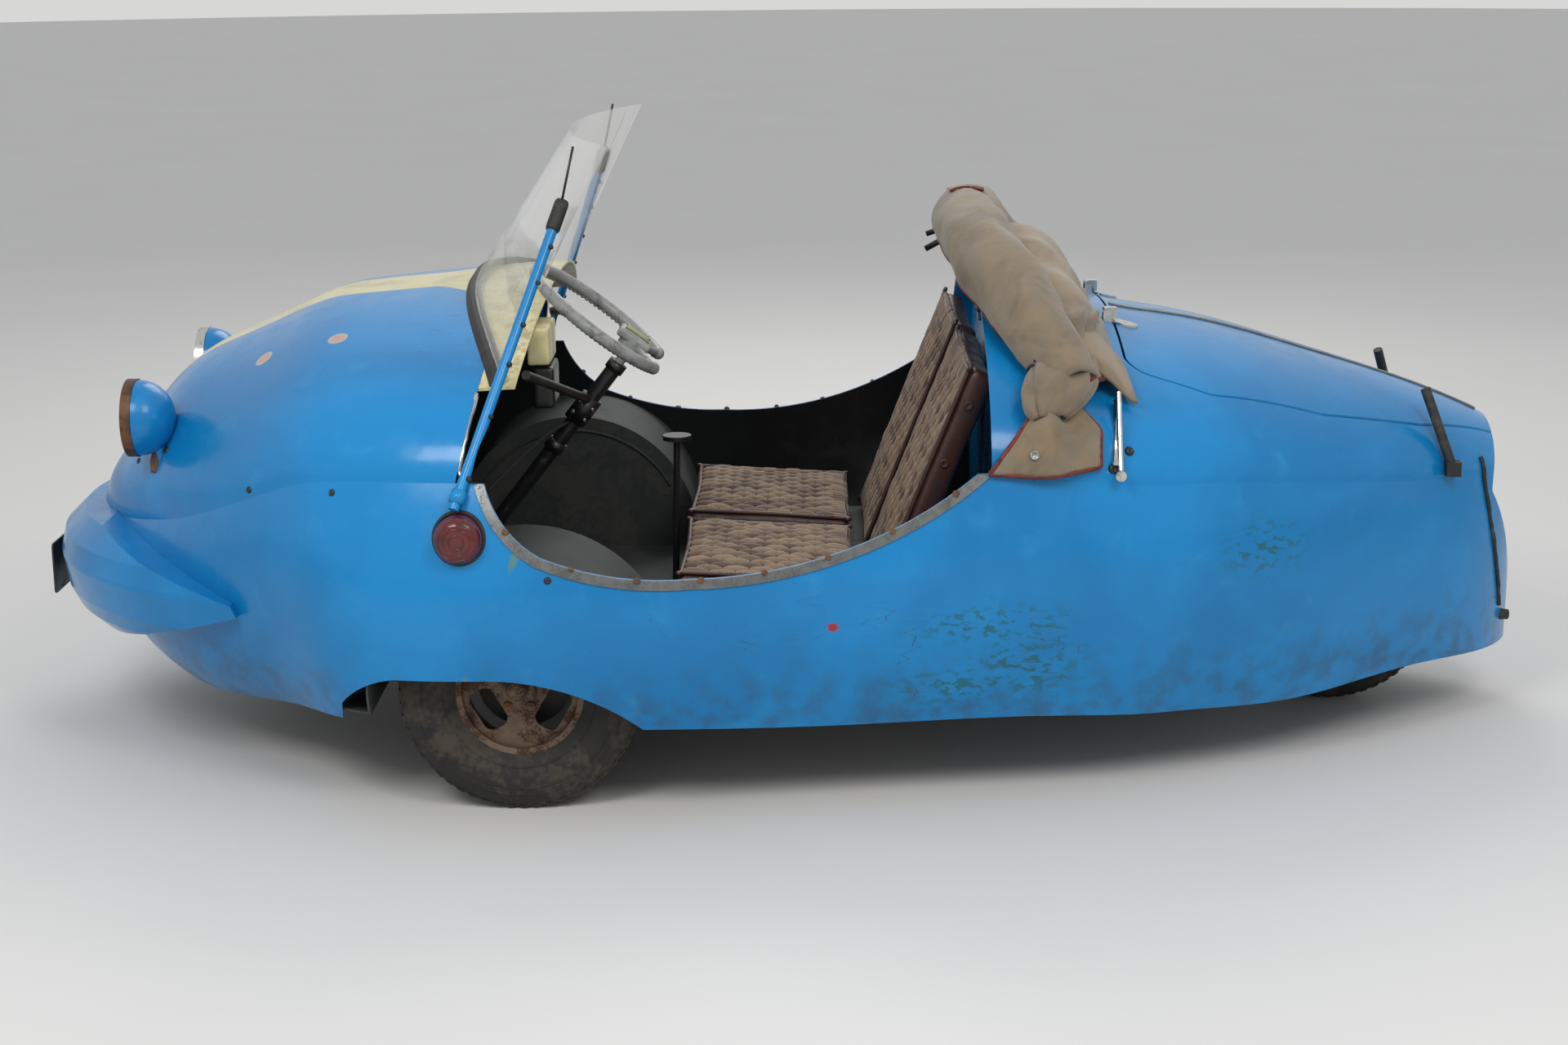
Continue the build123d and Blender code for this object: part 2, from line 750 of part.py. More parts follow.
# Seats
lean = radians(back_lean)
back_up = Vector(sin(lean), 0, cos(lean))
back_out = Vector(cos(lean), 0, -sin(lean))
back_foot_z = seat_step_z + joint_gap + back_thickness * sin(lean)
for side, name in ((-1, "left"), (1, "right")):
    inner_edge = side * seat_inner_y
    with BuildPart() as cushion:
        with BuildSketch(Plane.XZ.offset(-inner_edge)):
            with BuildLine():
                Polyline(
                    (at(cushion_front), seat_step_z + joint_gap),
                    (at(cushion_front), cushion_front_top),
                    (at(cushion_rear), cushion_rear_top),
                    (at(cushion_rear), seat_step_z + joint_gap),
                    close=True,
                )
            make_face()
        extrude(amount=-side * (seat_outer_y - seat_inner_y))
        fillet(edges().filter_by(Axis.Z, reverse=True).group_by(Axis.Z)[-1], cushion_edge)
    save(cushion.part, f"seat_cushion_{name}")
    with BuildPart() as back:
        foot = Vector(at(back_foot_station), 0, back_foot_z)
        corners = [foot, foot + back_up * back_length]
        corners += [corners[1] + back_out * back_thickness, foot + back_out * back_thickness]
        with BuildSketch(Plane.XZ.offset(-inner_edge)):
            with BuildLine():
                Polyline(*[(corner.X, corner.Z) for corner in corners], close=True)
            make_face()
        extrude(amount=-side * (seat_outer_y - seat_inner_y))
        fillet(edges().group_by(Axis.Z)[-1], cushion_edge)
    save(back.part, f"seat_back_{name}")

# Headlamps on brackets
lamp_x = at(lamp_station)
with BuildPart() as headlamp_bowls:
    for side in (-1, 1):
        centre = (lamp_x, side * lamp_y, lamp_z)
        with BuildSketch(Plane(origin=centre, x_dir=(1, 0, 0), z_dir=(0, -1, 0))):
            Ellipse(lamp_bowl_depth, lamp_radius)
            Rectangle(400, 400, align=(Align.MIN, Align.MIN), mode=Mode.INTERSECT)
        revolve(axis=Axis(centre, (1, 0, 0)))
        rod(
            (lamp_x + 32, side * lamp_y, lamp_z - lamp_radius * 0.8),
            (lamp_x + 46, side * lamp_y, lamp_z - lamp_radius - 70),
            lamp_stalk_radius,
        )
    add(clear_form, mode=Mode.SUBTRACT)
save(headlamp_bowls.part, "headlamp_bowls")

with BuildPart() as headlamp_rims:
    for side in (-1, 1):
        with BuildSketch(Plane.YZ.offset(lamp_x - joint_gap)):
            with Locations((side * lamp_y, lamp_z)):
                Circle(lamp_radius + 2)
                Circle(lamp_radius - 8, mode=Mode.SUBTRACT)
        extrude(amount=-lamp_ring_width)
save(headlamp_rims.part, "headlamp_rims")

with BuildPart() as headlamp_lenses:
    for side in (-1, 1):
        centre = (lamp_x - joint_gap, side * lamp_y, lamp_z)
        with BuildSketch(Plane(origin=centre, x_dir=(-1, 0, 0), z_dir=(0, 1, 0))):
            Ellipse(lamp_ring_width + lens_bulge, lamp_radius - 8.3)
            Rectangle(400, 400, align=(Align.MIN, Align.MIN), mode=Mode.INTERSECT)
        revolve(axis=Axis(centre, (1, 0, 0)))
save(headlamp_lenses.part, "headlamp_lenses")

with BuildPart() as side_lamps:
    for side in (-1, 1):
        with BuildSketch(Plane.XZ.offset(-side * side_lamp_y)):
            with Locations((at(side_lamp_station), side_lamp_z)):
                Circle(side_lamp_radius)
        extrude(amount=-side * side_lamp_height)
        fillet(edges().group_by(Axis.Y)[-1 if side > 0 else 0], side_lamp_round)
    add(clear_form, mode=Mode.SUBTRACT)
save(side_lamps.part, "side_lamps")

# Bumper: a moulded horn round the nose, tapering to its tips
with BuildPart() as bumper_wedge:
    with BuildSketch(Plane.XZ):
        with BuildLine():
            Polyline(*[(at(station), z) for station, z in bumper_side_view], close=True)
        make_face()
    extrude(amount=1000, both=True)
with BuildPart() as bumper:
    with BuildSketch(Plane(origin=(at(bumper_centre_station), 0, 0), x_dir=(-1, 0, 0), z_dir=(0, 1, 0))):
        with BuildLine():
            Polyline(*[(bumper_radius - inset, z) for inset, z in bumper_profile], close=True)
        make_face()
        fillet(vertices().group_by(Axis.X)[-1], bumper_round)
    revolve(axis=Axis((at(bumper_centre_station), 0, 0), (0, 0, 1)))
    add(bumper_wedge.part, mode=Mode.INTERSECT)
    add(clear_form, mode=Mode.SUBTRACT)
save(bumper.part.solids().sort_by(Axis.X)[0], "bumper")

plate_x = at(bumper_centre_station) - bumper_radius
with BuildPart() as number_plate:
    with BuildSketch(Plane.YZ.offset(plate_x - joint_gap)):
        with Locations((0, plate_z)):
            RectangleRounded(plate_width, plate_height, 8)
    extrude(amount=-plate_thickness)
save(number_plate.part, "number_plate")

# Folded hood over the hump, and its stays
hood_outline = side_cut(hood_side_view, depth=hood_half_width)
with BuildPart() as hood:
    add(hood_form)
    add(clear_form, mode=Mode.SUBTRACT)
    add(above_crease, mode=Mode.INTERSECT)
    add(hood_outline, mode=Mode.INTERSECT)
save(hood.part, "hood")

with BuildPart() as hood_irons:
    for side in (-1, 1):
        low, high = iron_low, iron_high
        rod(
            (at(low[0]), side * low[1], low[2]), (at(high[0]), side * high[1], high[2]), iron_radius
        )
        with BuildSketch(Plane.XZ.offset(-side * iron_foot_y)):
            with Locations((at(low[0]), low[2])):
                Circle(iron_foot_radius)
        extrude(amount=side * 30)
    add(clear_form, mode=Mode.SUBTRACT)
save(hood_irons.part, "hood_irons")

# Frame: two rails with cross members, and a hoop behind the engine
rail_low = floor_z - joint_gap - rail_height
with BuildPart() as chassis_frame:
    for side in (-1, 1):
        with BuildSketch(Plane.YZ.offset(at(rail_front_station))):
            with Locations((side * rail_y, rail_low)):
                Rectangle(rail_width, rail_height, align=(Align.CENTER, Align.MIN))
        extrude(amount=rail_rear_station - rail_front_station)
        rod(
            (at(hoop_station), side * rail_y, rail_low + rail_height / 2),
            (at(hoop_station), side * rail_y, hoop_z),
            hoop_radius,
        )
    for station in cross_member_stations:
        with BuildSketch(Plane.XZ.offset(rail_y)):
            with Locations((at(station), rail_low)):
                Rectangle(rail_width, rail_height, align=(Align.CENTER, Align.MIN))
        extrude(amount=-2 * rail_y)
    rod((at(hoop_station), -rail_y, hoop_z), (at(hoop_station), rail_y, hoop_z), hoop_radius)
    for side in (-1, 1):
        with Locations((at(hoop_station), side * rail_y, hoop_z)):
            Sphere(hoop_radius)
        rod(
            (at(tie_down_station), side * rail_y, rail_low - rail_height),
            (at(tie_down_station), side * rail_y, rail_low + 2 * rail_height),
            tie_down_radius,
            mode=Mode.SUBTRACT,
        )
save(chassis_frame.part, "chassis_frame")

with BuildPart() as engine:
    with BuildSketch(Plane.XY.offset(floor_z)):
        with Locations((at(engine_station), engine_y)):
            RectangleRounded(engine_length, engine_width, 20)
    extrude(amount=engine_height)
    fillet(edges().group_by(Axis.Z)[-1], 15)
save(engine.part, "engine")

# Front axle: a dropped tube with a fork and kingpin at each end
axle_tube_z = rail_low - joint_gap - axle_tube_radius
ear_low = axle_z - fork_height / 2
ear_high = axle_z + fork_height / 2
with BuildPart() as front_axle:
    axle_reach = kingpin_y - fork_depth + fork_plate / 2
    rod((front_axle_x, -axle_reach, axle_tube_z), (front_axle_x, axle_reach, axle_tube_z), axle_tube_radius)
    for side in (-1, 1):
        away = Align.MIN if side > 0 else Align.MAX
        back_y = side * (kingpin_y - fork_depth)
        with BuildSketch(Plane.YZ.offset(front_axle_x - fork_half_width)):
            with Locations((back_y, axle_z)):
                Rectangle(fork_depth + fork_half_width, fork_height, align=(away, Align.CENTER))
            with Locations((back_y + side * fork_plate, axle_z)):
                Rectangle(
                    fork_depth + fork_half_width,
                    fork_height - 2 * fork_plate,
                    align=(away, Align.CENTER),
                    mode=Mode.SUBTRACT,
                )
            with Locations((back_y, axle_tube_z - axle_tube_radius)):
                Rectangle(fork_plate, axle_z - axle_tube_z, align=(away, Align.MIN))
        extrude(amount=2 * fork_half_width)
        rod(
            (front_axle_x, side * kingpin_y, ear_low), (front_axle_x, side * kingpin_y, ear_high), kingpin_radius
        )
save(front_axle.part, "front_axle")

barrel_low = ear_low + fork_plate + fork_gap
barrel_high = ear_high - fork_plate - fork_gap
for side, name in ((-1, "left"), (1, "right")):
    kingpin = (front_axle_x, side * kingpin_y)
    with BuildPart() as knuckle:
        rod((*kingpin, barrel_low), (*kingpin, barrel_high), barrel_radius)
        rod(
            (front_axle_x, side * kingpin_y, axle_z),
            (front_axle_x, side * spindle_end_y, axle_z),
            spindle_radius,
        )
        with BuildSketch(Plane.XZ.offset(-side * brake_plate_y)):
            with Locations((front_axle_x, axle_z)):
                Circle(brake_plate_radius)
        extrude(amount=-side * brake_plate_thickness)
        arm_end = (at(tie_rod_station), side * kingpin_y, arm_z)
        rod((*kingpin, arm_z), arm_end, arm_radius)
        rod(
            (arm_end[0], arm_end[1], arm_z + arm_radius),
            (arm_end[0], arm_end[1], tie_rod_z + tie_eye_half_height + tie_eye_gap),
            stud_radius,
        )
        rod(
            (*kingpin, barrel_low - 5), (*kingpin, barrel_high + 5), kingpin_radius + running_gap,
            mode=Mode.SUBTRACT,
        )
    save(knuckle.part, f"knuckle_{name}")

with BuildPart() as tie_rod:
    tie_end = kingpin_y
    rod(
        (at(tie_rod_station), -tie_end, tie_rod_z), (at(tie_rod_station), tie_end, tie_rod_z), tie_rod_radius
    )
    for side in (-1, 1):
        with BuildSketch(Plane.XY.offset(tie_rod_z - tie_eye_half_height)):
            with Locations((at(tie_rod_station), side * tie_end)):
                Circle(tie_eye_radius)
        extrude(amount=2 * tie_eye_half_height)
save(tie_rod.part, "tie_rod")


# Wheels: three alike, at the front left, front right and rear
wheel_centres = {
    "front_left": (front_axle_x, -wheel_y, -1),
    "front_right": (front_axle_x, wheel_y, 1),
    "rear": (rear_axle_x, 0.0, -1),
}
for name, (x, y, outward) in wheel_centres.items():
    hub_plane = Plane(origin=(x, y, axle_z), x_dir=(0, outward, 0), z_dir=(1, 0, 0))
    spin_axis = Axis((x, y, axle_z), (0, 1, 0))
    with BuildPart() as tyre:
        with BuildSketch(hub_plane):
            with BuildLine():
                ThreePointArc(
                    (-tyre_tread_half_width, tyre_radius - 4),
                    (0, tyre_radius),
                    (tyre_tread_half_width, tyre_radius - 4),
                )
                ThreePointArc(
                    (tyre_tread_half_width, tyre_radius - 4),
                    (tyre_half_width, tyre_shoulder_radius),
                    (rim_half_width - 4, tyre_bead_radius),
                )
                Line((rim_half_width - 4, tyre_bead_radius), (4 - rim_half_width, tyre_bead_radius))
                ThreePointArc(
                    (4 - rim_half_width, tyre_bead_radius),
                    (-tyre_half_width, tyre_shoulder_radius),
                    (-tyre_tread_half_width, tyre_radius - 4),
                )
            make_face()
            with Locations((0, tyre_bead_radius)):
                Rectangle(2 * rim_half_width, 2 * (rim_flange_radius - tyre_bead_radius) + 1, mode=Mode.SUBTRACT)
        revolve(axis=spin_axis)
    save(tyre.part, f"tyre_{name}")
    with BuildPart() as rim:
        with BuildSketch(hub_plane):
            with BuildLine():
                Polyline(
                    *[(across * rim_half_width, radius) for across, radius in rim_section],
                    close=True,
                )
            make_face()
        revolve(axis=spin_axis)
        with BuildSketch(Plane(origin=(x, y + outward * disc_inset, axle_z), x_dir=(1, 0, 0), z_dir=(0, 1, 0))):
            Circle(rim_section[0][1] - 1)
            with PolarLocations(window_radius, 3, start_angle=30):
                RectangleRounded(window_height, window_width, window_corner, mode=Mode.SUBTRACT)
        extrude(amount=disc_sheet / 2, both=True)
        hub_low, hub_high = hub_reach if name != "rear" else rear_hub_reach
        rod((x, y + outward * hub_low, axle_z), (x, y + outward * hub_high, axle_z), hub_radius)
        rod(
            (x, y + outward * (hub_low - 10), axle_z),
            (x, y + outward * (hub_high + 10), axle_z),
            spindle_radius + running_gap,
            mode=Mode.SUBTRACT,
        )
    save(rim.part, f"rim_{name}")

# Rear fork with its spindle and damper legs
with BuildPart() as rear_fork:
    pivot_z = floor_z - joint_gap + fork_tube_radius + joint_gap
    rod((at(fork_station), -rail_y, pivot_z), (at(fork_station), rail_y, pivot_z), fork_tube_radius)
    for side in (-1, 1):
        rod(
            (at(fork_station), side * fork_arm_y, pivot_z),
            (rear_axle_x, side * fork_arm_y, axle_z),
            fork_arm_radius,
        )
        with Locations((rear_axle_x, side * fork_arm_y, axle_z)):
            Sphere(fork_arm_radius + 2)
        rod(
            (rear_axle_x - damper_foot_ahead, side * fork_arm_y, axle_z),
            (at(hoop_station) + hoop_radius + 12, side * fork_arm_y, hoop_z),
            damper_radius,
        )
    rod(
        (rear_axle_x, -fork_arm_y - 20, axle_z), (rear_axle_x, fork_arm_y + 20, axle_z), spindle_radius
    )
    with BuildPart(mode=Mode.PRIVATE) as hoop_room:
        rod(
            (at(hoop_station), -rail_y, hoop_z), (at(hoop_station), rail_y, hoop_z), hoop_radius + joint_gap
        )
    add(hoop_room.part, mode=Mode.SUBTRACT)
save(rear_fork.part, "rear_fork")
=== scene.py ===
"""Looks of an open three wheeled car with a moulded body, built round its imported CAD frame.

All sizes are in metres, in the frame of the CAD: +X to the tail, +Y to the car's right, +Z up. A
station is a distance behind the front axle.
"""

import logging
import math
from collections.abc import Callable
from dataclasses import dataclass, field
from enum import Enum
from itertools import product

import bmesh
import bpy
from mathutils import Matrix, Vector, noise
from mathutils.bvhtree import BVHTree


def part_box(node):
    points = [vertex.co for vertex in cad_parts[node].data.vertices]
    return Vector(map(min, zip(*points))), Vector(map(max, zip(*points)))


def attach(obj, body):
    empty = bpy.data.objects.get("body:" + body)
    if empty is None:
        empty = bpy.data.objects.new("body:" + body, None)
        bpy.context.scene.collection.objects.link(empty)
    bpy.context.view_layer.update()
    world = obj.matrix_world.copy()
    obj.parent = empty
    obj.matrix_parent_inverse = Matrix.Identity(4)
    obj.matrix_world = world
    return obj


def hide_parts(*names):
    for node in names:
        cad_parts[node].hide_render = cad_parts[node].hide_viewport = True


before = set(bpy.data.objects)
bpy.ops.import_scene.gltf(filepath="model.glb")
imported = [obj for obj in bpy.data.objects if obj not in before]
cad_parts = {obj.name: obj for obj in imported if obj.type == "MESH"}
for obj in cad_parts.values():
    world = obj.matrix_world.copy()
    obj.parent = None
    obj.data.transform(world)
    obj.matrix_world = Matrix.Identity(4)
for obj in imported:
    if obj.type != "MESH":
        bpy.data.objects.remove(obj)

log = logging.getLogger("car")

FRONT_AXLE_X = -0.44685
REAR_AXLE_X = 1.04315
WHEEL_RADIUS = 0.2075
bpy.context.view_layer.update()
TINY = 1e-9
MERGE_DISTANCE = 0.00002
SLAB_WAVES = 16.0
SLAB_WAVE_HEIGHT = 0.0022
ROLL_STEPS = 6

Colour = tuple[float, float, float]
Point = tuple[float, float, float]

ORIGIN: Point = (0.0, 0.0, 0.0)
AFT = Vector((1.0, 0.0, 0.0))
RIGHT = Vector((0.0, 1.0, 0.0))
UP = Vector((0.0, 0.0, 1.0))

BODY_NODES = ("lower_shell", "rear_shell")
SKIN_NODES = ("lower_shell", "bonnet_shell", "rear_shell", "engine_lid", "bumper")

BLUE: Colour = (0.006, 0.235, 0.560)
BLUE_DEEP: Colour = (0.004, 0.180, 0.445)
BLUE_PALE: Colour = (0.045, 0.330, 0.600)
CREAM: Colour = (0.640, 0.580, 0.300)
CREAM_AGED: Colour = (0.430, 0.400, 0.210)
DIRT: Colour = (0.035, 0.040, 0.038)
PRIMER: Colour = (0.560, 0.300, 0.230)
FILLER: Colour = (0.420, 0.400, 0.340)
LINING: Colour = (0.010, 0.011, 0.011)
RUBBED: Colour = (0.012, 0.120, 0.130)
RED_MARK: Colour = (0.330, 0.030, 0.025)
OLD_TAPE: Colour = (0.130, 0.240, 0.110)
CHIPPED: Colour = (0.110, 0.045, 0.030)

BUTTON_PROFILE = (
    (-0.001, 0.0), (-0.001, 0.0085), (0.0014, 0.0085), (0.0026, 0.0065), (0.0012, 0.004), (0.001, 0.0),
)
RING_BUTTON_PROFILE = (
    (-0.001, 0.0), (-0.001, 0.0085), (0.0022, 0.0085), (0.0032, 0.0062), (0.0012, 0.0045), (0.001, 0.0),
)
NUT_PROFILE = (
    (-0.002, 0.0), (-0.002, 0.0085), (0.006, 0.0085), (0.008, 0.006), (0.008, 0.003), (0.011, 0.003),
    (0.011, 0.0),
)
HUB_CAP_PROFILE = (
    (-0.003, 0.0), (-0.003, 0.020), (0.003, 0.020), (0.006, 0.017), (0.011, 0.0155), (0.014, 0.011),
    (0.0155, 0.0),
)
DISH_PROFILE = (
    (0.0015, 0.0), (0.0015, 0.054), (-0.0005, 0.054), (0.0, 0.035), (0.0008, 0.014), (0.0008, 0.0),
)
FLANGE_PROFILE = ((-0.002, 0.0), (-0.002, 0.024), (0.002, 0.024), (0.005, 0.016), (0.005, 0.0))
CLIP_NUT_PROFILE = ((0.0, 0.0), (0.0, 0.006), (0.008, 0.006), (0.008, 0.0))
SLEEVE_PROFILE = (
    (-0.048, 0.0), (-0.048, 0.0108), (-0.044, 0.0125), (0.004, 0.0125), (0.009, 0.0105), (0.010, 0.0),
)
CLAMP_PROFILE = ((0.012, 0.0), (0.012, 0.0125), (0.034, 0.0125), (0.034, 0.0))
BUMP_PROFILE = ((-0.004, 0.0), (-0.003, 0.0050), (0.001, 0.0050), (0.0038, 0.003), (0.0046, 0.0))
KNOB_PROFILE = (
    (-0.004, 0.0), (-0.004, 0.008), (0.012, 0.008), (0.016, 0.011), (0.022, 0.010), (0.023, 0.0),
)


class Side(Enum):
    """The two sides of the car, by the sign of Y."""

    LEFT = -1
    RIGHT = 1

    @property
    def label(self) -> str:
        """The side's name, as pieces carry it."""
        return self.name.lower()

    @property
    def out(self) -> Vector:
        """The direction away from the car's middle."""
        return Vector((0.0, float(self.value), 0.0))


class Outline(Enum):
    """Whether a tube's line is open or closed."""

    OPEN = 0
    CLOSED = 1


def at(station: float) -> float:
    """X of a station in metres."""
    return FRONT_AXLE_X + station


def spoke(angle: float) -> Vector:
    """The direction across the car's axles at an angle from straight up, turning to the tail."""
    return Vector((math.sin(angle), 0.0, math.cos(angle)))


def opaque(value: object) -> object:
    """A colour of three numbers as one of four, and anything else as it is."""
    return (*value, 1.0) if isinstance(value, tuple) and len(value) == 3 else value


class Graph:
    """Writes a node tree with short calls."""

    def __init__(self, tree: bpy.types.NodeTree) -> None:
        """Keep the tree to write in."""
        self.tree = tree

    def node(self, kind: str, feeds: dict | None = None, **settings: object) -> bpy.types.Node:
        """Add a node.

        Args:
            kind: The node's type name.
            feeds: Values or sockets for its inputs, by name or number.
            settings: Values for its own properties.

        Returns:
            The new node.
        """
        made = self.tree.nodes.new(kind)
        for key, value in settings.items():
            setattr(made, key, value)
        for key, value in (feeds or {}).items():
            self.feed(made.inputs[key], value)
        return made

    def feed(self, socket: bpy.types.NodeSocket, value: object) -> None:
        """Link a socket or a node's first output to an input, or set the input's value."""
        if isinstance(value, bpy.types.Node):
            value = value.outputs[0]
        if isinstance(value, bpy.types.NodeSocket):
            self.tree.links.new(value, socket)
        else:
            socket.default_value = value

    def math(self, operation: str, first: object, second: object = 0.0) -> object:
        """One step of arithmetic, and the socket with its result."""
        return self.node("ShaderNodeMath", {0: first, 1: second}, operation=operation).outputs[0]

    def vector(self, operation: str, first: object, second: object = None) -> bpy.types.Node:
        """One step of arithmetic with vectors, as its node."""
        feeds = {0: first} if second is None else {0: first, 1: second}
        return self.node("ShaderNodeVectorMath", feeds, operation=operation)

    def scaled(self, vector: object, scale: object) -> bpy.types.Node:
        """A vector or colour times a number, as its node."""
        made = self.vector("SCALE", vector)
        self.feed(made.inputs["Scale"], scale)
        return made

    def total(self, operation: str, values: list) -> object:
        """Fold a list of values with one operation."""
        result = values[0]
        for value in values[1:]:
            result = self.math(operation, result, value)
        return result

    def ramp(self, value: object, low: float, high: float, start: float = 0.0, end: float = 1.0) -> object:
        """Rise smoothly from start to end while the value goes from low to high."""
        feeds = {"Value": value, "From Min": low, "From Max": high, "To Min": start, "To Max": end}
        return self.node("ShaderNodeMapRange", feeds, interpolation_type="SMOOTHSTEP").outputs[0]

    def mix(self, share: object, first: object, second: object) -> object:
        """A colour between two others."""
        feeds = {0: share, 6: opaque(first), 7: opaque(second)}
        return self.node("ShaderNodeMix", feeds, data_type="RGBA").outputs[2]

    def noise(self, place: object, scale: float, detail: float = 4.0, warp: float = 0.0) -> object:
        """The value of a noise at a place."""
        feeds = {"Vector": place, "Scale": scale, "Detail": detail, "Roughness": 0.55, "Distortion": warp}
        return self.node("ShaderNodeTexNoise", feeds).outputs["Fac"]

    def patches(self, place: object, scale: float, detail: float, *steps: float, warp: float = 0.0) -> object:
        """Noise at a place, sharpened to patches.

        Args:
            place: The socket with the place.
            scale: The scale of the noise, per metre.
            detail: Its octaves.
            steps: The noise's low and high limit, and what the result starts and ends with.
            warp: How far the noise is distorted.

        Returns:
            The socket with the result.
        """
        return self.ramp(self.noise(place, scale, detail, warp), *steps)

    def cells(self, place: object, scale: float, feature: str = "DISTANCE_TO_EDGE") -> object:
        """The distance in a Voronoi pattern at a place."""
        feeds = {"Vector": place, "Scale": scale}
        return self.node("ShaderNodeTexVoronoi", feeds, feature=feature).outputs["Distance"]

    def bands(self, place: object, scale: float, warp: float, direction: str) -> object:
        """Soft parallel bands along an axis at a place."""
        feeds = {"Vector": place, "Scale": scale, "Distortion": warp}
        return self.node("ShaderNodeTexWave", feeds, bands_direction=direction).outputs["Fac"]

    def stretched(self, place: object, scale: Point, turn: Point = ORIGIN) -> object:
        """A place with its axes scaled and turned."""
        feeds = {"Vector": place, "Scale": scale, "Rotation": turn}
        return self.node("ShaderNodeMapping", feeds).outputs[0]

    def axes(self, place: object) -> tuple:
        """The three coordinates of a place."""
        return tuple(self.node("ShaderNodeSeparateXYZ", {0: place}).outputs)

    def blob(self, place: object, centre: Point, radii: Point, edge: float, rough: float = 0.0) -> object:
        """A soft-edged ellipsoid.

        Args:
            place: The socket with the place.
            centre: The middle of the blob.
            radii: Its half sizes.
            edge: The part of the radius over which it fades.
            rough: How far noise shifts its edge.

        Returns:
            A socket that is one inside and nought outside.
        """
        offset = self.vector("SUBTRACT", place, centre)
        reach = self.vector("LENGTH", self.vector("DIVIDE", offset, radii)).outputs["Value"]
        if rough:
            ragged = self.math("MULTIPLY_ADD", self.noise(place, 60.0, 5.0), rough)
            ragged.node.inputs[2].default_value = -rough / 2
            reach = self.math("ADD", reach, ragged)
        return self.ramp(reach, 1.0 - edge, 1.0, 1.0, 0.0)

    def streak(self, place: object, start: Point, end: Point, width: float) -> object:
        """A thin soft-edged line between two points, as a socket that is one on it."""
        run = Vector(end) - Vector(start)
        along = tuple(run.normalized())
        offset = self.vector("SUBTRACT", place, start)
        reach = self.vector("DOT_PRODUCT", offset, along).outputs["Value"]
        held = self.math("MINIMUM", self.math("MAXIMUM", reach, 0.0), run.length)
        away = self.vector("SUBTRACT", offset, self.scaled(along, held))
        distance = self.vector("LENGTH", away).outputs["Value"]
        return self.ramp(distance, width * 0.4, width * 0.6, 1.0, 0.0)


class Shader(Graph):
    """The node graph of one material, round one Principled shader."""

    def __init__(self, name: str) -> None:
        """Start an empty material of that name."""
        self.material = bpy.data.materials.new(name)
        self.material.use_nodes = True
        super().__init__(self.material.node_tree)
        self.tree.nodes.clear()
        self.surface = self.node("ShaderNodeBsdfPrincipled")
        self.node("ShaderNodeOutputMaterial", {0: self.surface})
        self.place = self.node("ShaderNodeTexCoord").outputs["Object"]

    def bump(self, height: object, strength: float, distance: float) -> None:
        """Lay relief over what relief there is."""
        made = self.node("ShaderNodeBump", {"Strength": strength, "Distance": distance, "Height": height})
        before = self.surface.inputs["Normal"]
        if before.links:
            self.feed(made.inputs["Normal"], before.links[0].from_socket)
        self.feed(before, made)

    def dress(self, **values: object) -> None:
        """Set or link inputs of the Principled shader, an underscore standing for a space."""
        for key, value in values.items():
            self.feed(self.surface.inputs[key.replace("_", " ")], opaque(value))


@dataclass(frozen=True)
class Finish:
    """A plain finish: a colour with patches of a second one and grain.

    Attributes:
        name: The material's name.
        colour: The main colour, linear.
        patch: The colour of worn or dirty patches.
        patch_share: How much of the surface they take, from 0 to 1.
        patch_scale: The scale of the patches, per metre.
        roughness: The roughness between patches.
        patch_roughness: The roughness in patches.
        metallic: How metallic the main colour is.
        grain_scale: The scale of the grain, per metre.
        grain: The height of the grain in metres.
        coat: The weight of a clear coat.
    """

    name: str
    colour: Colour
    patch: Colour
    patch_share: float
    patch_scale: float
    roughness: float
    patch_roughness: float
    metallic: float = 0.0
    grain_scale: float = 500.0
    grain: float = 0.0002
    coat: float = 0.0

    def make(self) -> bpy.types.Material:
        """Build the material."""
        shader = Shader(self.name)
        broad = shader.noise(shader.place, self.patch_scale, 6.0, 0.6)
        fine = shader.noise(shader.place, self.patch_scale * 9.0, 5.0)
        level = shader.math("ADD", shader.math("MULTIPLY", broad, 0.65), shader.math("MULTIPLY", fine, 0.35))
        edge = 0.30 + 0.4 * (1.0 - self.patch_share)
        patches = shader.ramp(level, edge - 0.06, edge + 0.06)
        lively = shader.patches(shader.place, self.patch_scale * 2.3, 3.0, 0.3, 0.7, 0.86, 1.12)
        tinted = shader.scaled(self.colour, lively)
        shader.dress(
            Base_Color=shader.mix(patches, tinted, self.patch),
            Roughness=shader.ramp(patches, 0.0, 1.0, self.roughness, self.patch_roughness),
        )
        if self.metallic:
            shader.dress(Metallic=shader.ramp(patches, 0.0, 1.0, self.metallic, self.metallic * 0.25))
        shader.bump(shader.noise(shader.place, self.grain_scale, 4.0), 0.5, self.grain)
        shader.bump(patches, 0.35, 0.0003)
        if self.coat:
            shader.dress(Coat_Weight=self.coat, Coat_Roughness=0.12)
        return shader.material


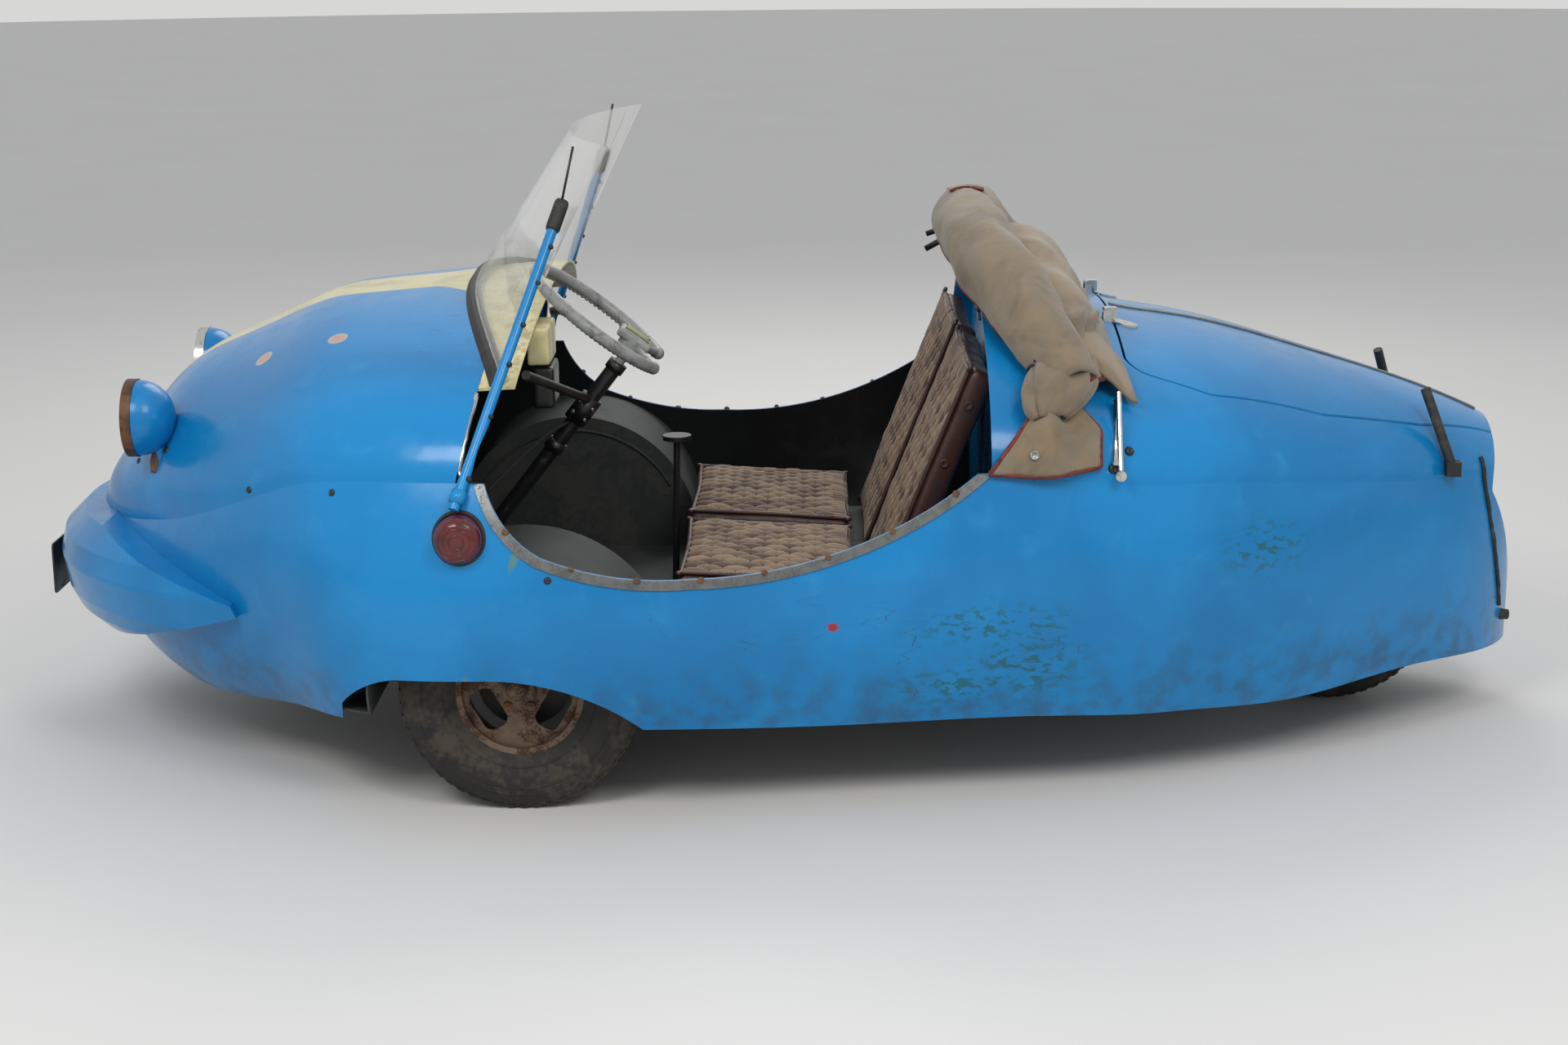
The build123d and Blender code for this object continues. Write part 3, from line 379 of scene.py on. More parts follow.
FINISHES = (
    Finish("matt_rubber", (0.012, 0.012, 0.012), (0.050, 0.046, 0.040), 0.4, 30.0, 0.62, 0.8),
    Finish(
        "dusty_tyre_rubber", (0.014, 0.013, 0.012), (0.060, 0.048, 0.036),
        0.42, 9.0, 0.72, 0.9, grain=0.0003,
    ),
    Finish(
        "worn_chrome", (0.62, 0.62, 0.60), (0.16, 0.12, 0.09),
        0.16, 40.0, 0.16, 0.55, 1.0, 900.0, 0.00004,
    ),
    Finish(
        "dull_aluminium", (0.20, 0.21, 0.205), (0.10, 0.10, 0.095),
        0.4, 30.0, 0.38, 0.6, 0.9, 900.0, 0.00005,
    ),
    Finish(
        "rusty_steel", (0.090, 0.060, 0.045), (0.200, 0.085, 0.035),
        0.5, 60.0, 0.6, 0.85, 0.35, grain=0.0003,
    ),
    # Rusty wheel paint. Its colour is darkened below the rust's own to paint in the shade that lies on the
    # rims.
    Finish(
        "rusty_wheel_paint", (0.150, 0.095, 0.058), (0.060, 0.026, 0.014),
        0.5, 26.0, 0.55, 0.85, grain=0.0003,
    ),
    Finish("dirty_frame_paint", (0.020, 0.019, 0.018), (0.075, 0.050, 0.032), 0.4, 18.0, 0.5, 0.85),
    Finish("worn_black_paint", (0.012, 0.012, 0.012), (0.055, 0.045, 0.038), 0.2, 45.0, 0.35, 0.6),
    Finish("dull_casting", (0.160, 0.160, 0.155), (0.060, 0.050, 0.042), 0.4, 20.0, 0.6, 0.8, 0.5),
    Finish(
        "rough_grey_moulding", (0.030, 0.036, 0.034), (0.055, 0.055, 0.048),
        0.4, 8.0, 0.7, 0.85, 0.0, 160.0, 0.0006,
    ),
    Finish("worn_grey_plastic", (0.270, 0.275, 0.265), (0.140, 0.140, 0.130), 0.3, 35.0, 0.34, 0.6),
    Finish("olive_plastic", (0.180, 0.200, 0.050), (0.110, 0.120, 0.040), 0.3, 60.0, 0.3, 0.5),
    Finish("aged_cream_paint", CREAM, (0.420, 0.340, 0.170), 0.3, 12.0, 0.45, 0.6, coat=0.2),
    Finish("matt_black_plate", (0.010, 0.010, 0.010), (0.030, 0.028, 0.026), 0.3, 25.0, 0.45, 0.7),
    Finish(
        "dark_red_leatherette", (0.060, 0.022, 0.016), (0.030, 0.014, 0.012),
        0.4, 20.0, 0.38, 0.6, 0.0, 900.0, 0.0004,
    ),
    Finish("rust_red_piping", (0.150, 0.026, 0.018), (0.080, 0.018, 0.012), 0.4, 60.0, 0.7, 0.85),
    Finish("black_cord", (0.012, 0.012, 0.012), (0.035, 0.032, 0.030), 0.3, 90.0, 0.75, 0.9),
    Finish("dull_steel", (0.300, 0.290, 0.270), (0.120, 0.080, 0.050), 0.3, 150.0, 0.35, 0.6, 0.9),
)


@dataclass(frozen=True)
class Gelcoat:
    """The body's faded blue moulding with its cream spine, patches, scratches and tape.

    Attributes:
        name: The material's name.
        cream_spine: Whether the top of the bonnet and the cowl are cream.
        side_wear: Whether the side has its worn patches, scratches and tape.
        repaired: The middles of the two oval repairs.
        rubbed: The middles and half sizes of the rubbed zones low on the left side.
        cracked: The middles and half sizes of the cracked zones there.
    """

    name: str
    cream_spine: bool = False
    side_wear: bool = False
    repaired: tuple = ((at(-0.475), -0.295, 0.722), (at(-0.332), -0.355, 0.768))
    rubbed: tuple = (
        ((at(0.86), -0.66, 0.250), (0.15, 0.2, 0.085)), ((at(0.72), -0.68, 0.215), (0.16, 0.2, 0.050)),
        ((at(1.28), -0.50, 0.420), (0.12, 0.2, 0.070)), ((at(0.80), -0.66, 0.330), (0.20, 0.2, 0.050)),
    )
    cracked: tuple = (
        ((at(0.55), -0.68, 0.340), (0.42, 0.3, 0.075)), ((at(0.80), -0.66, 0.270), (0.26, 0.3, 0.13)),
    )

    def make(self) -> bpy.types.Material:
        """Build the material."""
        shader = Shader(self.name)
        place = shader.place
        x, y, z = shader.axes(place)
        cloudy = shader.noise(place, 16.0, 6.0, 0.3)
        colour = shader.mix(shader.patches(place, 2.6, 3.0, 0.35, 0.68, warp=0.4), BLUE_DEEP, BLUE)
        colour = shader.mix(shader.ramp(cloudy, 0.56, 0.80, 0.0, 0.30), colour, BLUE_PALE)
        drawn_down = shader.stretched(place, (0.6, 1.0, 7.0))
        colour = shader.mix(shader.patches(drawn_down, 5.0, 5.0, 0.55, 0.80, 0.0, 0.28), colour, BLUE_DEEP)
        low = shader.ramp(z, 0.14, 0.34, 0.45, 0.0)
        soiled = shader.math("MULTIPLY", low, shader.patches(place, 24.0, 6.0, 0.4, 0.7))
        colour = shader.mix(soiled, colour, DIRT)
        specks = shader.ramp(shader.cells(place, 26.0, "F1"), 0.035, 0.055, 0.75, 0.0)
        thinned = shader.math("MULTIPLY", specks, shader.patches(place, 9.0, 2.0, 0.58, 0.64))
        colour = shader.mix(thinned, colour, DIRT)
        if self.cream_spine:
            colour = self.spine(shader, colour, x, y, z)
            colour = self.repairs(shader, colour)
        if self.side_wear:
            colour = self.wear(shader, colour, y)
            colour = self.lining(shader, colour, y, z)
        shader.dress(
            Base_Color=colour, Roughness=shader.ramp(cloudy, 0.35, 0.75, 0.20, 0.34), Specular_IOR_Level=0.32,
            Coat_Weight=0.15, Coat_Roughness=0.08,
        )
        shader.bump(shader.noise(place, 9.0, 2.0), 0.25, 0.004)
        shader.bump(shader.noise(place, 650.0, 3.0), 0.25, 0.0001)
        return shader.material

    def spine(self, shader: Shader, colour: object, x: object, y: object, z: object) -> object:
        """Cream along the middle of the bonnet and behind the screen."""
        narrow = shader.ramp(x, at(-0.80), at(-0.25), 0.050, 0.092)
        half = shader.math("ADD", narrow, shader.ramp(x, at(-0.20), at(-0.105), 0.0, 0.075))
        across = shader.math("ABSOLUTE", y)
        inside = shader.ramp(shader.math("SUBTRACT", half, across), -0.0015, 0.0015)
        square = shader.math("SUBTRACT", 1.21, shader.math("MULTIPLY", y, y))
        curve = shader.math("SUBTRACT", 1.1, shader.math("SQRT", square))
        rake = shader.math("MULTIPLY", shader.math("SUBTRACT", 0.845, z), 0.662)
        past = shader.math("ADD", shader.math("SUBTRACT", x, curve), rake)
        behind = shader.ramp(past, at(-0.108), at(-0.106))
        high = shader.ramp(z, 0.60, 0.602)
        cream = shader.math("MULTIPLY", shader.math("MAXIMUM", inside, behind), high)
        aged = shader.patches(shader.place, 11.0, 6.0, 0.42, 0.72, warp=0.5)
        return shader.mix(cream, colour, shader.mix(aged, CREAM, CREAM_AGED))

    def lining(self, shader: Shader, colour: object, y: object, z: object) -> object:
        """Dark dusty paint on the faces that look inwards."""
        outwards = shader.node("ShaderNodeCombineXYZ", {0: 0.0, 1: y, 2: shader.math("SUBTRACT", z, 0.30)})
        normal = shader.node("ShaderNodeNewGeometry").outputs["Normal"]
        facing = shader.vector("DOT_PRODUCT", normal, outwards).outputs["Value"]
        return shader.mix(shader.ramp(facing, -0.03, 0.0, 1.0, 0.0), colour, LINING)

    def repairs(self, shader: Shader, colour: object) -> object:
        """Two oval patches with a pale rim where holes were filled, and scrapes near the screen."""
        place = shader.place
        for centre in self.repaired:
            colour = shader.mix(shader.blob(place, centre, (0.019, 0.022, 0.020), 0.12), colour, FILLER)
            colour = shader.mix(shader.blob(place, centre, (0.013, 0.016, 0.014), 0.25), colour, PRIMER)
        mask = shader.blob(place, (at(-0.13), -0.35, 0.76), (0.10, 0.26, 0.10), 0.6)
        long_cells = shader.cells(shader.stretched(place, (5.0, 9.0, 26.0)), 3.2)
        lines = shader.ramp(long_cells, 0.006, 0.016, 0.6, 0.0)
        broken = shader.patches(place, 22.0, 3.0, 0.52, 0.60)
        return shader.mix(shader.total("MULTIPLY", [mask, lines, broken]), colour, DIRT)

    def wear(self, shader: Shader, colour: object, y: object) -> object:
        """Worn patches, cracks, a red scratch, chips and a line of old tape on the left side."""
        place = shader.place
        left = shader.ramp(y, -0.30, -0.28, 1.0, 0.0)
        tall = shader.stretched(place, (1.0, 1.0, 1.6))
        grazed = shader.patches(tall, 55.0, 7.0, 0.50, 0.60, 0.0, 0.85)
        for centre, radii in self.rubbed:
            zone = shader.blob(place, centre, radii, 0.8)
            colour = shader.mix(shader.math("MULTIPLY", zone, grazed), colour, RUBBED)
        zones = [shader.blob(place, centre, radii, 0.4) for centre, radii in self.cracked]
        zone = shader.total("MAXIMUM", zones)
        long_cells = shader.cells(shader.stretched(place, (3.2, 3.0, 15.0), (0.0, 0.10, 0.0)), 4.0)
        cracks = shader.ramp(long_cells, 0.004, 0.012, 0.9, 0.0)
        broken = shader.patches(place, 16.0, 4.0, 0.50, 0.58)
        colour = shader.mix(shader.total("MULTIPLY", [zone, cracks, broken, left]), colour, DIRT)
        red = shader.streak(place, (at(0.500), -0.683, 0.322), (at(0.640), -0.679, 0.356), 0.005)
        flaky = shader.patches(place, 120.0, 4.0, 0.45, 0.55)
        colour = shader.mix(shader.math("MULTIPLY", red, flaky), colour, RED_MARK)
        spot = shader.blob(place, (at(0.530), -0.683, 0.335), (0.012, 0.05, 0.010), 0.5, 1.2)
        colour = shader.mix(spot, colour, RED_MARK)
        tape = shader.streak(place, (at(0.012), -0.738, 0.470), (at(-0.078), -0.735, 0.262), 0.016)
        patchy = shader.patches(place, 30.0, 5.0, 0.38, 0.56, 0.10, 0.75)
        colour = shader.mix(shader.math("MULTIPLY", tape, patchy), colour, OLD_TAPE)
        chips = shader.ramp(shader.cells(place, 17.0, "F1"), 0.05, 0.075, 0.85, 0.0)
        sparse = shader.patches(place, 5.0, 2.0, 0.60, 0.66)
        return shader.mix(shader.total("MULTIPLY", [chips, sparse, left]), colour, CHIPPED)


@dataclass(frozen=True)
class ClearSheet:
    """Scuffed clear plastic or glass.

    Attributes:
        name: The material's name.
        tint: Its colour.
        roughness: Its roughness between scuffs.
        dust: The share of light that dust holds back.
        alpha: How solid it looks.
    """

    name: str
    tint: Colour
    roughness: float
    dust: float
    alpha: float

    def make(self) -> bpy.types.Material:
        """Build the material."""
        shader = Shader(self.name)
        drawn = shader.stretched(shader.place, (6.0, 1.0, 1.0), (0.3, 0.5, 0.2))
        scuffs = shader.patches(drawn, 14.0, 8.0, 0.45, 0.75)
        haze = shader.ramp(scuffs, 0.0, 1.0, self.roughness, self.roughness + 0.12)
        shader.dress(
            Base_Color=self.tint, Roughness=haze, Transmission_Weight=1.0 - self.dust, IOR=1.46,
            Alpha=self.alpha,
        )
        return shader.material


def red_lens() -> bpy.types.Material:
    """Moulded red plastic of the side lamps, a little dirty."""
    shader = Shader("red_lamp_plastic")
    dirt = shader.patches(shader.place, 40.0, 6.0, 0.45, 0.75)
    shader.dress(
        Base_Color=shader.mix(dirt, (0.110, 0.004, 0.005), (0.040, 0.008, 0.008)),
        Roughness=shader.ramp(dirt, 0.0, 1.0, 0.12, 0.40), Coat_Weight=0.4, Coat_Roughness=0.06,
    )
    shader.bump(shader.noise(shader.place, 300.0, 3.0), 0.3, 0.0002)
    return shader.material


def woven_cover() -> bpy.types.Material:
    """Woven seat cover, each strand with its own tone between two browns."""
    shader = Shader("woven_seat_cover")
    place = shader.place
    tone = shader.node("ShaderNodeAttribute", attribute_name="tone").outputs["Fac"]
    light = shader.mix(shader.noise(place, 35.0, 3.0), (0.230, 0.150, 0.090), (0.330, 0.225, 0.140))
    strand = shader.mix(shader.ramp(tone, 0.0, 0.8, 0.15, 1.0), (0.085, 0.042, 0.026), light)
    grime = shader.patches(place, 14.0, 6.0, 0.50, 0.78, 0.0, 0.7, warp=0.5)
    colour = shader.mix(grime, strand, (0.045, 0.026, 0.018))
    fibres = shader.noise(place, 420.0, 3.0)
    shader.dress(
        Base_Color=shader.mix(shader.ramp(fibres, 0.4, 0.7, 0.0, 0.30), colour, (0.05, 0.03, 0.02)),
        Roughness=0.72, Sheen_Weight=0.25, Sheen_Roughness=0.5,
    )
    shader.bump(fibres, 0.6, 0.0004)
    return shader.material


def canvas(name: str, plain: Colour, stain: Colour) -> bpy.types.Material:
    """Weathered canvas with a fine weave, stains and soft creases.

    Args:
        name: The material's name.
        plain: The colour between stains.
        stain: The colour of the stains.

    Returns:
        The material.
    """
    shader = Shader(name)
    place = shader.place
    colour = shader.mix(shader.patches(place, 9.0, 7.0, 0.42, 0.72, warp=0.8), plain, stain)
    warm = shader.patches(place, 26.0, 5.0, 0.40, 0.75, 0.0, 0.45)
    colour = shader.mix(warm, colour, (0.330, 0.215, 0.110))
    weave = shader.math("MULTIPLY", *(shader.bands(place, 320.0, 0.6, direction) for direction in "XZ"))
    shader.dress(
        Base_Color=shader.mix(shader.ramp(weave, 0.0, 1.0, 0.22, 0.0), colour, stain), Roughness=0.88,
        Sheen_Weight=0.3, Sheen_Roughness=0.5,
    )
    shader.bump(shader.noise(place, 70.0, 5.0, 0.4), 0.45, 0.0030)
    shader.bump(weave, 0.5, 0.0004)
    return shader.material


def rim_pair() -> bpy.types.Material:
    """The headlamp rims: rusty on the left lamp, chromed on the right one."""
    shader = Shader("headlamp_rim_metal")
    _, y, _ = shader.axes(shader.place)
    left = shader.ramp(y, -0.02, 0.02, 1.0, 0.0)
    patches = shader.patches(shader.place, 55.0, 6.0, 0.40, 0.62, warp=0.5)
    rust = shader.mix(patches, (0.075, 0.036, 0.022), (0.170, 0.070, 0.032))
    chrome = shader.mix(shader.ramp(patches, 0.6, 1.0, 0.0, 0.4), (0.60, 0.60, 0.58), (0.20, 0.14, 0.09))
    rough = shader.math("MULTIPLY", left, shader.ramp(patches, 0.0, 1.0, 0.25, 0.45))
    shader.dress(
        Base_Color=shader.mix(left, chrome, rust), Metallic=shader.ramp(left, 0.0, 1.0, 1.0, 0.35),
        Roughness=shader.math("ADD", rough, 0.2),
    )
    shader.bump(shader.noise(shader.place, 240.0, 5.0), 0.5, 0.0004)
    return shader.material


def silvering() -> bpy.types.Material:
    """Dulled silvering behind a lens, with fine ribs."""
    shader = Shader("dull_reflector")
    fog = shader.patches(shader.place, 30.0, 5.0, 0.4, 0.7)
    shader.dress(
        Base_Color=shader.mix(fog, (0.520, 0.540, 0.520), (0.300, 0.300, 0.270)), Metallic=0.75,
        Roughness=shader.ramp(fog, 0.0, 1.0, 0.18, 0.45),
    )
    shader.bump(shader.bands(shader.place, 46.0, 0.3, "Y"), 0.6, 0.0012)
    return shader.material


def mesh_object(name: str, points: list, faces: list, materials: list) -> bpy.types.Object:
    """Make a smooth object from points and faces, linked to the scene.

    Args:
        name: The object's name.
        points: The vertices.
        faces: The faces, as tuples of vertex numbers.
        materials: The materials of its slots.

    Returns:
        The object, at the origin.
    """
    mesh = bpy.data.meshes.new(name)
    mesh.from_pydata([tuple(point) for point in points], [], faces)
    mesh.update()
    for material in materials:
        mesh.materials.append(material)
    shade(mesh, True)
    made = bpy.data.objects.new(name, mesh)
    bpy.context.scene.collection.objects.link(made)
    return made


def shade(mesh: bpy.types.Mesh, smooth: bool) -> None:
    """Shade all faces of a mesh smooth or flat."""
    mesh.polygons.foreach_set("use_smooth", [smooth] * len(mesh.polygons))


def outward(piece: bpy.types.Object) -> bpy.types.Object:
    """Merge doubles and turn the faces of a closed piece outwards."""
    shape = bmesh.new()
    shape.from_mesh(piece.data)
    bmesh.ops.remove_doubles(shape, verts=shape.verts, dist=MERGE_DISTANCE)
    bmesh.ops.recalc_face_normals(shape, faces=shape.faces)
    shape.to_mesh(piece.data)
    shape.free()
    return piece


def joined(name: str, pieces: list) -> bpy.types.Object:
    """Join pieces into one, under a new name."""
    first = pieces[0]
    with bpy.context.temp_override(active_object=first, selected_editable_objects=pieces, object=first):
        bpy.ops.object.join()
    first.name = name
    first.data.name = name
    return first


def baked(piece: bpy.types.Object) -> bpy.types.Object:
    """Turn a piece's modifiers into plain mesh."""
    piece.update_tag()
    bpy.context.view_layer.update()
    graph = bpy.context.evaluated_depsgraph_get()
    shape = piece.evaluated_get(graph)
    mesh = bpy.data.meshes.new_from_object(shape, preserve_all_data_layers=True, depsgraph=graph)
    piece.modifiers.clear()
    piece.data = mesh
    return piece


def rounded(points: list, steps: int, outline: Outline = Outline.OPEN) -> list:
    """Points along a smooth curve through the given ones.

    Args:
        points: The points that it passes.
        steps: How many parts each span gets.
        outline: Whether the curve closes on itself.

    Returns:
        The points of the curve.
    """
    knots = [Vector(point) for point in points]
    count = len(knots)
    closed = outline is Outline.CLOSED
    result = []
    for index in range(count if closed else count - 1):
        if closed:
            before, start, end, after = (knots[(index + shift) % count] for shift in (-1, 0, 1, 2))
        else:
            start, end = knots[index], knots[index + 1]
            before = knots[index - 1] if index else start * 2 - end
            after = knots[index + 2] if index + 2 < count else end * 2 - start
        bend = 2 * before - 5 * start + 4 * end - after
        twist = 3 * start - before - 3 * end + after
        for step in range(steps):
            t = step / steps
            result.append(0.5 * (2 * start + (end - before) * t + bend * t * t + twist * t ** 3))
    if not closed:
        result.append(knots[-1])
    return result


def tube(
    name: str, line: list, radius: object, material: bpy.types.Material, sides: int,
    outline: Outline = Outline.OPEN,
) -> bpy.types.Object:
    """A closed tube along a line.

    Args:
        name: The object's name.
        line: The points that it follows.
        radius: Its radius, or a list with one for each point.
        material: Its material.
        sides: How many sides its section has.
        outline: Whether its two ends meet.

    Returns:
        The tube, with capped ends where it is open.
    """
    points = [Vector(point) for point in line]
    count = len(points)
    closed = outline is Outline.CLOSED
    radii = radius if isinstance(radius, list) else [radius] * count
    verts, faces = [], []
    side = UP
    for index, point in enumerate(points):
        ahead = points[(index + 1) % count] if closed or index + 1 < count else point
        behind = points[index - 1] if closed or index else point
        along = (ahead - behind).normalized()
        if index == 0 and abs(along.dot(side)) > 0.9:
            side = AFT
        side = (side - along * side.dot(along)).normalized()
        other = along.cross(side)
        for corner in range(sides):
            angle = 2 * math.pi * corner / sides
            verts.append(point + (side * math.cos(angle) + other * math.sin(angle)) * radii[index])
    for index, corner in product(range(count if closed else count - 1), range(sides)):
        here, there = index * sides, (index + 1) % count * sides
        beside = (corner + 1) % sides
        faces.append((here + corner, here + beside, there + beside, there + corner))
    if not closed:
        faces.append(tuple(reversed(range(sides))))
        faces.append(tuple((count - 1) * sides + corner for corner in range(sides)))
    made = mesh_object(name, verts, faces, [material])
    return outward(made) if closed else made


def turned(
    name: str, profile: tuple, centre: Point, axis: Point, material: bpy.types.Material, steps: int
) -> bpy.types.Object:
    """A body turned about an axis.

    Args:
        name: The object's name.
        profile: Pairs of distance along the axis and radius, from one end on the axis to the other.
        centre: Where the distance along the axis is nought.
        axis: The direction of the axis.
        material: Its material.
        steps: How many parts the turn has.

    Returns:
        The turned body, closed where the profile ends on the axis.
    """
    along = Vector(axis).normalized()
    side = along.orthogonal().normalized()
    other = along.cross(side)
    verts, faces = [], []
    for step in range(steps):
        angle = 2 * math.pi * step / steps
        out = side * math.cos(angle) + other * math.sin(angle)
        verts += [Vector(centre) + along * reach + out * radius for reach, radius in profile]
    size = len(profile)
    for step, row in product(range(steps), range(size - 1)):
        here, there = step * size + row, (step + 1) % steps * size + row
        faces.append((here, here + 1, there + 1, there))
    return outward(mesh_object(name, verts, faces, [material]))


def bead(name: str, profile: tuple, material: bpy.types.Material, steps: int) -> bpy.types.Object:
    """A small turned piece at the origin, facing +Z, to be copied."""
    return turned(name, profile, ORIGIN, UP, material, steps)


def screw(radius: float, height: float, material: bpy.types.Material) -> bpy.types.Object:
    """A domed screw head with a dip, facing +Z, to be copied."""
    profile = (
        (-height * 0.2, 0.0), (-height * 0.2, radius), (height * 0.35, radius), (height * 0.8, radius * 0.8),
        (height, radius * 0.45), (height * 0.75, radius * 0.3), (height * 0.7, 0.0),
    )
    return bead("screw_head", profile, material, 10)


class Surface:
    """The surface of some CAD nodes or pieces, to set others on."""

    def __init__(self, *carriers: object) -> None:
        """Gather the triangles of nodes, by name, or of objects."""
        verts, faces = [], []
        for carrier in carriers:
            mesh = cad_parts[carrier].data if isinstance(carrier, str) else carrier.data
            start = len(verts)
            verts.extend(vert.co.copy() for vert in mesh.vertices)
            faces.extend(tuple(start + number for number in face.vertices) for face in mesh.polygons)
        self.tree = BVHTree.FromPolygons(verts, faces)

    def hit(self, start: Point, direction: Point) -> tuple:
        """Where a ray meets the surface first, and the normal there, which faces the ray."""
        place, normal, _, _ = self.tree.ray_cast(Vector(start), Vector(direction).normalized())
        if place is None:
            place, normal, _, _ = self.tree.find_nearest(Vector(start))
        if normal.dot(Vector(direction)) > 0:
            normal = -normal
        return place, normal

    def beside(self, side: Side, x: float, z: float) -> tuple:
        """Where the surface is seen from one side at an X and height, and the normal there."""
        return self.hit((x, side.value * 1.5, z), -side.out)

    def near(self, point: Point) -> tuple:
        """The nearest place on the surface, and the normal there."""
        place, normal, _, _ = self.tree.find_nearest(Vector(point))
        return place, normal


class Repeater(Graph):
    """Places copies of a small piece on points with Geometry Nodes, as one plain mesh."""

    def __init__(self, name: str, seed: int, spread: float) -> None:
        """Build the tree.

        Args:
            name: The name of the tree.
            seed: The seed of what is random.
            spread: How much the copies differ in size, as a share of it.
        """
        super().__init__(bpy.data.node_groups.new(name, "GeometryNodeTree"))
        sockets = self.tree.interface
        self.keys = {}
        for label, kind in (
            ("Points", "Geometry"), ("Copied piece", "Object"), ("Spread", "Float"), ("Seed", "Int"),
            ("Finish", "Material"),
        ):
            made = sockets.new_socket(label, in_out="INPUT", socket_type=f"NodeSocket{kind}")
            self.keys[label] = made.identifier
        sockets.new_socket("Mesh", in_out="OUTPUT", socket_type="NodeSocketGeometry")
        given = self.node("NodeGroupInput").outputs
        piece = self.node("GeometryNodeObjectInfo", {"Object": given["Copied piece"]})
        facing, running = (
            self.node("GeometryNodeInputNamedAttribute", {"Name": label}, data_type="FLOAT_VECTOR")
            for label in ("facing", "running")
        )
        kind = "FunctionNodeAlignRotationToVector"
        first = self.node(kind, {"Vector": facing}, axis="Z")
        turn = self.node(kind, {"Rotation": first, "Vector": running}, axis="X", pivot_axis="Z")
        size = self.node("FunctionNodeRandomValue", {"Seed": given["Seed"]}, data_type="FLOAT")
        self.feed(size.inputs[2], self.math("SUBTRACT", 1.0, given["Spread"]))
        self.feed(size.inputs[3], self.math("ADD", 1.0, given["Spread"]))
        placed = self.node(
            "GeometryNodeInstanceOnPoints",
            {"Points": given["Points"], "Instance": piece.outputs["Geometry"], "Rotation": turn,
             "Scale": size.outputs[1]},
        )
        tone = self.node("FunctionNodeRandomValue", {"Seed": seed + 7}, data_type="FLOAT")
        toned = self.node(
            "GeometryNodeStoreNamedAttribute", {"Geometry": placed, "Name": "tone"}, data_type="FLOAT",
            domain="INSTANCE",
        )
        self.feed(toned.inputs["Value"], tone.outputs[1])
        real = self.node("GeometryNodeRealizeInstances", {"Geometry": toned})
        finished = self.node("GeometryNodeSetMaterial", {"Geometry": real, "Material": given["Finish"]})
        self.node("NodeGroupOutput", {0: finished})
        self.seed, self.spread = seed, spread

    def place(self, name: str, piece: bpy.types.Object, spots: list) -> bpy.types.Object:
        """Place the piece on spots, as one plain mesh with all the copies."""
        made = mesh_object(name, [spot[0] for spot in spots], [], [])
        for column, label in enumerate(("facing", "running"), 1):
            values = [number for spot in spots for number in spot[column]]
            made.data.attributes.new(label, "FLOAT_VECTOR", "POINT").data.foreach_set("vector", values)
        modifier = made.modifiers.new("copies", "NODES")
        modifier.node_group = self.tree
        finish = piece.data.materials[0]
        given = {"Copied piece": piece, "Spread": self.spread, "Seed": self.seed, "Finish": finish}
        for label, value in given.items():
            modifier[self.keys[label]] = value
        baked(made)
        bpy.data.objects.remove(piece)
        return made


def settled(piece: bpy.types.Object, body: str, slot: str) -> None:
    """Let a finished piece ride on a body and log it."""
    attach(piece, body)
    log.info("%s: %d faces on %s", piece.name, len(piece.data.polygons), body)


def scattered(
    name: str, piece: bpy.types.Object, spots: list, seed: int, slot: str, body: str = "body",
    spread: float = 0.0, smooth: bool = True,
) -> None:
    """Copy a small piece to spots and let the copies ride on a body.

    Args:
        name: The name of the result.
        piece: The piece, lying at the origin with +Z outwards. It isn't kept.
        spots: Tuples of a point, the direction that +Z turns to and the one that +X turns to.
        seed: The seed of what is random.
        slot: The name of its material slot.
        body: The body that it rides on.
        spread: How much the copies differ in size, as a share of it.
        smooth: Whether their faces are shaded smooth.
    """
    made = Repeater(f"{piece.name} copies", seed, spread).place(name, piece, spots)
    shade(made.data, smooth)
    settled(made, body, slot)


